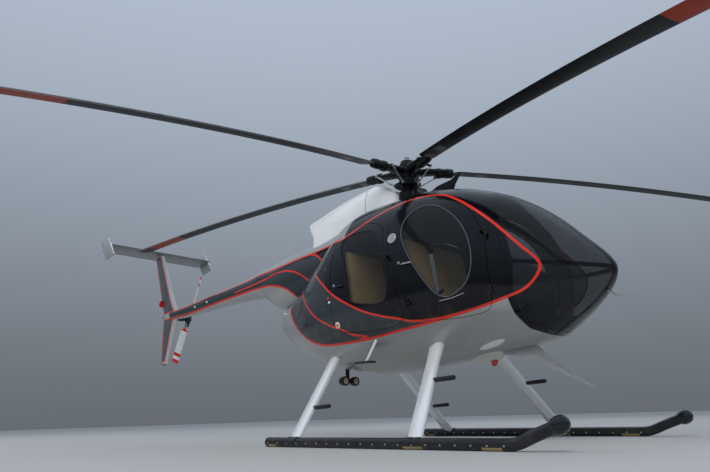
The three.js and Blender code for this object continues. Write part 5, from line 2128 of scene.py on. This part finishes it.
    def bend(self, base: Piece, k: int) -> Piece:
        """Copies the straight blade onto one arm, lagged, feathered and drooping.

        Args:
            base: The straight blade.
            k: The arm's number.

        Returns:
            The piece.
        """
        piece = Former.copy(base, f"main_blade_{k + 1}_foil")
        r, lead, up = (Former.spots(piece) + DATUM).T
        a = self.azimuth + math.tau * k / 5
        feather = self.cyclic * math.cos(a - self.cyclic_at)
        ahead = lead * math.cos(feather) - up * math.sin(feather)
        drop = self.cone * r + self.droop * (r / self.radius) ** 1.85
        h = lead * math.sin(feather) + up * math.cos(feather) - drop
        b = a + self.lag
        x = 0.2 * math.cos(a) + (r - 0.2) * math.cos(b) - ahead * math.sin(b)
        y = 0.2 * math.sin(a) + (r - 0.2) * math.sin(b) + ahead * math.cos(b)
        c, s = math.cos(TILT), math.sin(TILT)
        placed = np.stack([x * c + h * s, y, -x * s + h * c], 1) + np.array(HUB) + DATUM
        piece.data.vertices.foreach_set("co", placed.ravel())
        piece.data.update()
        return piece


@dataclass
class LandingGear:
    """Four streamlined legs with step pegs, and two skids."""

    shop: Workshop
    track: float = 1.106
    tube: float = 0.04
    legs: tuple[tuple, ...] = (
        ("front", 0.881, (0.66, 0.5, 0.71), 0.53),
        ("rear", -0.407, (-0.568, 0.476, 0.722), 0.32),
    )

    def build(self, solid: Piece) -> None:
        """Makes the sub-assembly.

        Args:
            solid: The whole skin as a filled body.
        """
        for name, foot, top, step in self.legs:
            right = self.leg(f"leg_{name}_right_strut", foot, top, solid)
            base = np.array([foot, -self.track, self.tube])
            along = (np.array([top[0], -top[1], top[2]]) - base) * 1.25
            at = base + along * step
            peg = Former.lathe(f"leg_{name}_right_peg", at, (0.245, 0, 0.012), [
                (0, 0), (0, 0.017), (0.06, 0.0175), (0.066, 0.019), (0.232, 0.019), (0.24, 0.017),
                (0.245, 0.012), (0.245, 0)], 28)
            start = (foot - 0.075, -self.track, self.tube)
            shoe = Former.lathe(f"leg_{name}_right_socket", start, (1, 0, 0), [
                (0.012, 0.0403), (0.012, 0.043), (0.018, 0.045), (0.06, 0.045), (0.064, 0.0435),
                (0.086, 0.0435), (0.09, 0.045), (0.132, 0.045), (0.138, 0.043), (0.138, 0.0403),
                (0.012, 0.0403)], 40)
            ground = Former.block("tool", (foot - 0.3, -self.track - 0.2, -0.2),
                                  (foot + 0.3, -self.track + 0.2, 0.036), 0)
            Former.cut(shoe, ground)
            for piece, slot, finish, node in (
                (right, Slot.ALLOY, LEG_METAL, f"leg_{name}"), (peg, Slot.SKID, SKID_BLACK, ""),
                (shoe, Slot.ALLOY, SKID_BLACK, ""),
            ):
                self.shop.both(piece, slot, finish, node)
        self.skids()

    def leg(self, name: str, foot_x: float, top: Point, solid: Piece) -> Piece:
        """Lofts a leg from its foot to inside the belly, and cuts it off there.

        Args:
            name: The piece's name.
            foot_x: The foot's station.
            top: Where it meets the belly.
            solid: The whole skin as a filled body.

        Returns:
            The piece.
        """
        foot = np.array([foot_x, -self.track, self.tube])
        along = (np.array([top[0], -top[1], top[2]]) - foot) * 1.25
        across = unit([0.0, along[2], -along[1]])
        section = foil(1.0, 24)
        rings = []
        stops = (0, 0.1, 0.72, 0.86, 1)
        for share in np.linspace(0, 1, 60):
            chord = np.interp(share, stops, (0.132, 0.13, 0.128, 0.14, 0.172))
            thick = np.interp(share, stops, (0.05, 0.05, 0.056, 0.068, 0.088))
            centre = foot + along * share
            flat = np.zeros(len(section))
            ring = centre + np.stack([(section[:, 0] + 0.45) * chord, flat, flat], 1)
            rings.append(ring + section[:, 1:2] * thick * across)
        strut = Former.sheath(name, rings)
        ends = (foot_x - 0.3, -self.track, self.tube), (foot_x + 0.3, -self.track, self.tube)
        Former.cut(strut, Former.bar("tool", *ends, self.tube + 0.0005, sides=56))
        corners = (foot_x - 0.3, -self.track - 0.3, -0.3), (foot_x + 0.3, -self.track + 0.3, self.tube)
        Former.cut(strut, Former.block("tool", *corners, 0))
        Former.cut(strut, solid, keep=True)
        return strut

    def skids(self) -> None:
        """Makes both skids with their wear shoes, rivets and caps."""
        path = [(-0.742, 0.04), (-0.7, 0.04), (0.2, 0.04), (1.2, 0.04), (1.6, 0.04), (1.665, 0.043),
                (1.72, 0.056), (1.8, 0.089), (1.975, 0.152)]
        line = np.array([(-0.742, 0.04), *rounded(path[1:], 90, closed=False)])
        line[:, 1] = np.maximum(line[:, 1], self.tube)
        places = np.stack([line[:, 0], np.full(len(line), -self.track), line[:, 1]], 1)
        tube = Former.pipe("skid_right_tube", places, self.tube, 40)
        nose = Former.lathe("skid_right_cap", (1.936, -self.track, 0.137), (0.175, 0, 0.07), [
            (0, 0), (0, 0.042), (0.006, 0.049), (0.024, 0.055), (0.05, 0.057), (0.076, 0.053),
            (0.096, 0.041), (0.108, 0.022), (0.112, 0)], 40)
        end = Former.lathe("skid_right_plug", (-0.742, -self.track, self.tube), (-1, 0, 0),
                           [(-0.02, 0), (-0.02, 0.036), (0.004, 0.036), (0.009, 0.028), (0.009, 0)])
        shoes, rivets = [], []
        for x0, x1 in ((-0.7, -0.6), (0.8, 0.97), (1.45, 1.6)):
            arc = np.radians(np.linspace(205, 335, 20))
            rings = []
            for x in np.linspace(x0, x1, 12):
                rim = np.stack([np.full(20, x), -self.track + 0.0409 * np.cos(arc),
                                self.tube + 0.0399 * np.sin(arc)], 1)
                inner = np.stack([np.full(20, x), -self.track + 0.036 * np.cos(arc),
                                  self.tube + 0.036 * np.sin(arc)], 1)[::-1]
                rings.append(np.vstack([rim, inner]))
            shoes.append(Former.sheath("shoe", rings))
        for x in np.arange(-0.7, 1.62, 0.122):
            for angle in (188, 352):
                c, s = wheel(angle)
                foot = (x, -self.track + 0.0394 * c, self.tube + 0.0394 * s)
                rivets.append(Former.lathe("rivet", foot, (0, c, s), [
                    (0, 0), (0, 0.007), (0.0018, 0.0065), (0.0032, 0.003), (0.0033, 0)], 12))
        groups = (
            (tube, Slot.SKID, SKID_BLACK, "skid"), (nose, Slot.SKID, BLACK_GLOSS, ""),
            (end, Slot.SKID, RUBBER, ""),
            (Former.merged("skid_right_shoes", *shoes), Slot.ALLOY, SHOE, ""),
            (Former.merged("skid_right_rivets", *rivets), Slot.ALLOY, BARE_METAL, ""),
        )
        for piece, slot, finish, node in groups:
            self.shop.both(piece, slot, finish, node)


LOWER_CUTTER = [(1.31, 0.745), (1.35, 0.7), (1.73, 0.4), (1.702, 0.402), (1.24, 0.64), (0.96, 0.7),
                (0.95, 0.76)]
UPPER_CUTTER = [
    (0.345, 2.2), (0.352, 2.316), (0.43, 2.35), (0.6, 2.372), (0.694, 2.424), (0.714, 2.412), (0.64, 2.318),
    (0.585, 2.2),
]


@dataclass
class Fittings:
    """Wire cutters, lamps, beacon, antennas and the side step."""

    shop: Workshop
    hull: Hull

    def build(self, solid: Piece) -> None:
        """Makes the sub-assembly.

        Args:
            solid: The whole skin as a filled body.
        """
        lower = Former.prism("lower_cutter_blade", LOWER_CUTTER, -0.004, 0.004)
        upper = Former.prism("upper_cutter_blade", UPPER_CUTTER, -0.005, 0.005)
        for piece, slot, finish, node in (
            (lower, Slot.ALLOY, BARE_METAL, "lower_wire_cutter"),
            (upper, Slot.BLACK, HUB_BLACK, "upper_wire_cutter"),
        ):
            Former.cut(piece, solid, keep=True)
            Former.soften(piece, 0.0012)
            self.shop.add(piece, slot, finish, node)
        self.lamps(solid)
        self.step(solid)
        self.small()

    def lamps(self, solid: Piece) -> None:
        """Makes the pair of landing lamps under the belly.

        Args:
            solid: The whole skin as a filled body.
        """
        stem = Former.lathe("lamp_stem", (-0.675, -0.18, 0.565), (0, 0, 1),
                            [(-0.018, 0), (-0.018, 0.016), (-0.012, 0.02), (0.2, 0.02), (0.2, 0)], 28)
        Former.cut(stem, Former.bar("bar", (-0.675, -0.25, 0.565), (-0.675, -0.11, 0.565), 0.013), "UNION")
        Former.cut(stem, solid, keep=True)
        self.shop.add(stem, Slot.BLACK, HUB_BLACK, "landing_lights")
        for y in (-0.262, -0.122):
            can = Former.lathe(f"lamp_can_{int(-y * 1000)}", (-0.61, y, 0.565), (-1, 0, 0), [
                (0.0, 0.035), (0.0, 0.042), (0.004, 0.045), (0.04, 0.044), (0.066, 0.037), (0.082, 0.026),
                (0.09, 0.01), (0.09, 0), (0.01, 0), (0.01, 0.034), (0.0, 0.035)], 44)
            self.shop.add(can, Slot.BLACK, HUB_BLACK)
            lens = Former.lathe(f"lamp_lens_{int(-y * 1000)}", (-0.6195, y, 0.565), (1, 0, 0),
                                [(0, 0), (0, 0.0345), (0.004, 0.0345), (0.007, 0.026), (0.0085, 0.014),
                                 (0.009, 0)], 40)
            self.shop.add(lens, Slot.GLASS, TAN_LENS, angle=50)

    def step(self, solid: Piece) -> None:
        """Makes the step under the rear right door.

        Args:
            solid: The whole skin as a filled body.
        """
        arm = Former.pipe("side_step_arm", [(0.11, -0.54, 0.96), (0.045, -0.572, 0.823),
            (-0.02, -0.604, 0.686)], [0.013, 0.0125, 0.012], 20)
        Former.cut(arm, solid, keep=True)
        self.shop.add(arm, Slot.ALLOY, LEG_METAL, "side_step_right", angle=50)
        plate = Former.block("side_step_plate", (-0.13, -0.65, 0.676), (0.06, -0.56, 0.692), 0.005)
        self.shop.add(plate, Slot.ALLOY, DARK_METAL)
        ribs = [Former.block("rib", (-0.118 + 0.022 * k, -0.64, 0.691), (-0.11 + 0.022 * k, -0.57, 0.6945),
                             0.001) for k in range(8)]
        self.shop.add(Former.merged("side_step_ribs", *ribs), Slot.SKID, RUBBER)

    def pad(self, name: str, centre: tuple[float, float], long: float, wide: float, turn: float,
            rise: float = 0.012) -> Piece:
        """Lays an oval, softly domed pad on the belly.

        Args:
            name: The piece's name.
            centre: Where it sits, in plan.
            long: Its half length.
            wide: Its half width.
            turn: Its heading in degrees.
            rise: How far it stands out.

        Returns:
            The piece.
        """
        c, s = wheel(turn)
        angle = np.linspace(0, math.tau, 64, endpoint=False)
        rings = []
        for share, lift in ((1.0, -0.006), (1.0, 0.15), (0.96, 0.42), (0.88, 0.68), (0.74, 0.86), (0.5, 0.97),
                            (0.2, 1.0)):
            a, b = share * long * np.cos(angle), share * wide * np.sin(angle)
            xs, ys = centre[0] + a * c - b * s, centre[1] + a * s + b * c
            rings.append([(x, y, self.hull.belly(x, y) - lift * rise) for x, y in zip(xs, ys)])
        return Former.sheath(name, rings)

    def small(self) -> None:
        """Sets the beacon, belly lamp, antennas and probes."""
        beacon = Former.lathe("belly_beacon", (0.895, 0, self.hull.belly(0.895, 0) - 0.045), (0, 0, -1), [
            (0, 0), (0, 0.034), (0.022, 0.034), (0.026, 0.029), (0.044, 0.027), (0.058, 0.018),
            (0.063, 0)], 36)
        self.shop.add(beacon, Slot.GLASS, RED_LENS)
        window = self.pad("belly_lamp", (1.043, -0.253), 0.14, 0.042, -15)
        self.shop.add(window, Slot.GLASS, WHITE_LENS, angle=50)
        pod = self.pad("belly_pod", (0.845, 0.0), 0.155, 0.1, 0, 0.062)
        self.shop.add(pod, Slot.SILVER, PALE_CUFF, angle=50)
        for k, (x, y, tall) in enumerate(((0.52, 0.33, 0.075), (-0.02, 0.2, 0.05))):
            base = self.hull.roof(x, y) - 0.004
            mast = Former.lathe(f"roof_antenna_{k}", (x, y, base), (-0.25, 0, 1), [(0, 0), (0, 0.014),
                (0.008, 0.013), (0.012, 0.006), (tall, 0.004), (tall + 0.004, 0.0)], 20)
            self.shop.add(mast, Slot.WHITE, WHITE_PAINT)
        tube = Former.pipe("nose_probe", [(1.93, 0.0, 1.1), (1.99, 0.0, 1.05), (2.06, 0.0, 1.045),
            (2.13, 0.0, 1.045)], [0.011, 0.009, 0.008, 0.006], 16)
        self.shop.add(tube, Slot.ALLOY, BARE_METAL, angle=50)


@dataclass
class Interior:
    """Floor covering, seats and controls."""

    shop: Workshop
    seat_y: float = 0.285

    def build(self) -> None:
        """Makes the sub-assembly."""
        kept = {
            "cabin_floor": CARPET, "firewall": TRIM_GREY, "engine_block": SOOT,
            "instrument_console": CONSOLE_BLACK, "cyclic_right": HUB_BLACK, "cyclic_left": HUB_BLACK,
        }
        for name, finish in kept.items():
            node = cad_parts[name]
            node.data.materials.clear()
            node.data.materials.append(self.shop.material(finish))
        for side, label in SIDES:
            self.seat(f"front_{label}", side * self.seat_y, 0.235, 0.83, 0.3, 1.16)
        self.seat("rear_bench", 0.0, 0.52, 0.11, -0.33, 1.15)
        self.panel()

    def seat(self, name: str, y: float, half: float, front: float, rear: float, top: float) -> None:
        """Makes a seat: a pan, a base cushion and a back cushion with stitched channels.

        Args:
            name: The seat's name.
            y: Its middle.
            half: Its half width.
            front: Its front.
            rear: Its rear.
            top: The base cushion's height.
        """
        pan = Former.block(f"seat_{name}_pan", (rear + 0.012, y - half + 0.01, FLOOR_Z + 0.0005),
                           (front - 0.01, y + half - 0.01, top - 0.095), 0.02)
        self.shop.add(pan, Slot.TRIM, TRIM_GREY, f"seat_{name}")
        places = 1 if half < 0.3 else 2
        for k in range(places):
            wide = half / places
            middle = y + (k - (places - 1) / 2) * 2 * wide
            label = f"{name}_{k + 1}" if places > 1 else name
            base = self.cushion(f"seat_{label}_base_cushion", (rear + 0.085, middle, top - 0.055),
                                (front - 0.004, middle, top - 0.048), wide - 0.004, 0.058, (0, 0, 1))
            back = self.cushion(f"seat_{label}_back_cushion", (rear + 0.075, middle, top - 0.01),
                                (rear - 0.012, middle, top + 0.615), wide - 0.014, 0.052, (1, 0, 0.14))
            for piece in (base, back):
                self.shop.add(piece, Slot.LEATHER, LEATHER, angle=60)

    def cushion(self, name: str, start: Point, end: Point, half: float, thick: float, up: Point) -> Piece:
        """Shapes a cushion with soft edges, a sunk middle and stitched channels.

        Args:
            name: The piece's name.
            start: Middle of one end, from the datum.
            end: Middle of the other end.
            half: Its half width.
            thick: Its half thickness.
            up: The way its face looks.

        Returns:
            The piece.
        """
        a, b = np.array(start, float), np.array(end, float)
        length, way = np.linalg.norm(b - a), unit(b - a)
        up = unit(up - way * (up @ way))
        side = np.cross(up, way)
        angle = np.linspace(0, math.tau, 120, endpoint=False)
        across = power(np.cos(angle), 0.34)
        lift = power(np.sin(angle), 0.7)
        rings = []
        for t in np.concatenate([[0.0, 0.0008], np.linspace(0.004, 0.996, 90), [0.9992, 1.0]]):
            round_off = (1 - abs(2 * t - 1) ** 9) ** 0.34 if 0 < t < 1 else 0.0
            y = across * half * (0.93 + 0.07 * round_off) * (1 if round_off else 0)
            sunk = 0.16 * math.exp(-(((t - 0.42) / 0.25) ** 2)) * np.exp(-((y / (half * 0.55)) ** 2))
            puff = 1 - sunk
            for channel in (-0.56, -0.19, 0.19, 0.56):
                puff -= 0.1 * np.exp(-(((y - channel * half) / 0.007) ** 2)) * (0.08 < t < 0.92)
            seam = 1 - 0.12 * math.exp(-(((t - 0.8) / 0.012) ** 2))
            height = lift * thick * round_off * np.where(lift > 0, puff * seam, 0.8)
            rings.append(a + way * length * t + np.outer(y, side) + np.outer(height, up))
        return Former.sheath(name, rings)

    def panel(self) -> None:
        """Sets dials and a hood on the console, and pedals before the front seats."""
        hood = Former.pipe("panel_hood", [(1.175, -0.16, 1.335), (1.195, -0.16, 1.435), (1.25, -0.12, 1.452),
            (1.25, 0.12, 1.452), (1.195, 0.16, 1.435), (1.175, 0.16, 1.335)], 0.012, 12)
        self.shop.add(hood, Slot.TRIM, RUBBER, angle=50)
        spots = [(share, y) for share in (0.25, 0.68) for y in (-0.08, 0.0, 0.08)]
        for k, (share, y) in enumerate(spots):
            x, z = 1.01 + 0.17 * share, 1.18 + 0.15 * share
            dial = Former.lathe(f"dial_{k}", (x, y, z), (-0.15, 0, 0.17), [(-0.004, 0), (-0.004, 0.034),
                (0.006, 0.034), (0.007, 0.03), (0.003, 0.029), (0.003, 0)], 32)
            self.shop.add(dial, Slot.TRIM, SCREEN)
        for side, label in SIDES:
            seat = side * self.seat_y
            for k, shift in enumerate((-0.075, 0.075)):
                pedal = Former.pipe(f"pedal_{label}_{k}",
                                    [(1.3, seat + shift, 0.931), (1.32, seat + shift, 1.0),
                                     (1.35, seat + shift, 1.06)], [0.008, 0.008, 0.024], 14, flat=0.6)
                self.shop.add(pedal, Slot.ALLOY, BARE_METAL, angle=50)
            lever = Former.pipe(f"collective_{label}", [(0.42, seat - 0.2, 0.94), (0.58, seat - 0.215, 1.1),
                (0.78, seat - 0.215, 1.22)], [0.01, 0.01, 0.016], 14)
            self.shop.add(lever, Slot.BLACK, HUB_BLACK, angle=50)


@dataclass
class Studio:
    """Floor, light and the camera.

    Attributes:
        shop: Where the floor's material is made.
        place: Where the camera stands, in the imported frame.
        heading: The camera's yaw, pitch and roll in degrees.
        focus: Its focal length in pixels.
        width: The picture's width in pixels.
        film: The sensor's width in millimetres.
        lights: Name, place, size and power of each lamp.
    """

    shop: Workshop
    place: tuple[float, ...] = (4.479, -4.457, 0.24)
    heading: tuple[float, ...] = (133.754, 15.968, -1.623)
    focus: float = 627.25
    width: float = 710
    film: float = 36
    lights: tuple[tuple, ...] = (
        ("key", (7.5, -9.0, 9.5), 7.0, 950.0),
        ("fill", (-9.0, -8.0, 7.0), 7.0, 420.0),
        ("back", (-2.0, 9.0, 10.0), 6.0, 260.0),
    )

    def sky(self) -> None:
        """Lights the stage from a pale ceiling over darker walls."""
        world = bpy.data.worlds.new("sky")
        bpy.context.scene.world = world
        world.use_nodes = True
        n = Nodes("sky", world.node_tree)
        where = n.add("ShaderNodeTexCoord")
        rise = Value(n, n.add("ShaderNodeSeparateXYZ", None, {0: where.outputs["Generated"]}).outputs["Z"])
        colour = n.mix(rise.above(0.32, 0.42), (0.16, 0.18, 0.2), (0.62, 0.72, 0.86))
        glow = n.add("ShaderNodeBackground", None, {"Color": colour, "Strength": 0.75})
        n.add("ShaderNodeOutputWorld", None, {"Surface": glow.outputs[0]})

    def build(self) -> None:
        """Sets the stage."""
        Former.clear()
        bpy.ops.mesh.primitive_plane_add(size=60, location=(0, 0, 0))
        floor = bpy.context.object
        floor.name = "floor"
        floor.data.materials.append(self.shop.material(PALE_FLOOR))
        self.sky()
        for name, place, size, watts in self.lights:
            bpy.ops.object.light_add(type="AREA", location=place)
            lamp = bpy.context.object
            lamp.name = name
            lamp.data.size = size
            lamp.data.energy = watts
            lamp.visible_glossy = False
            lamp.rotation_euler = (Vector((0, 0, 1.2)) - Vector(place)).to_track_quat("-Z", "Y").to_euler()
        self.camera()

    def camera(self) -> None:
        """Stands the camera where the photograph was taken from."""
        yaw, pitch, roll = (math.radians(angle) for angle in self.heading)
        ahead = Vector((math.cos(pitch) * math.cos(yaw), math.cos(pitch) * math.sin(yaw), math.sin(pitch)))
        right = Vector((math.sin(yaw), -math.cos(yaw), 0))
        above = right.cross(ahead)
        c, s = math.cos(roll), math.sin(roll)
        right, above = right * c + above * s, above * c - right * s
        camera = bpy.data.cameras.new("camera")
        camera.sensor_width, camera.lens = self.film, self.film * self.focus / self.width
        camera.clip_start = 0.05
        holder = bpy.data.objects.new("camera", camera)
        bpy.context.collection.objects.link(holder)
        rows = [(right[k], above[k], -ahead[k], self.place[k]) for k in range(3)]
        holder.matrix_world = Matrix((*rows, (0, 0, 0, 1)))
        bpy.context.scene.camera = holder
        bpy.context.scene.view_settings.view_transform = "Standard"


def main() -> None:
    """Builds the helicopter and the stage."""
    logging.basicConfig(level=logging.INFO, format="%(name)s: %(message)s")
    shop, hull = Workshop(), Hull()
    shell, pane = hull.solid("shell", 0.022), hull.solid("pane", 0.006)
    solid = hull.solid("solid", outset=0.0003)
    tail = TailBoom(shop)
    boom = tail.shape()
    Cabin(shop, hull).build(shell, pane)
    RearBody(shop, hull).build(shell)
    MastFairing(shop).build(solid, boom)
    tail.build(boom, solid)
    TailRotor(shop).build()
    MainRotor(shop).build()
    LandingGear(shop).build(solid)
    Fittings(shop, hull).build(solid)
    Interior(shop).build()
    for piece in (shell, pane, solid):
        bpy.data.objects.remove(piece)
    Studio(shop).build()
    LOG.info("%d pieces", shop.count)


if __name__ == "__main__":
    main()
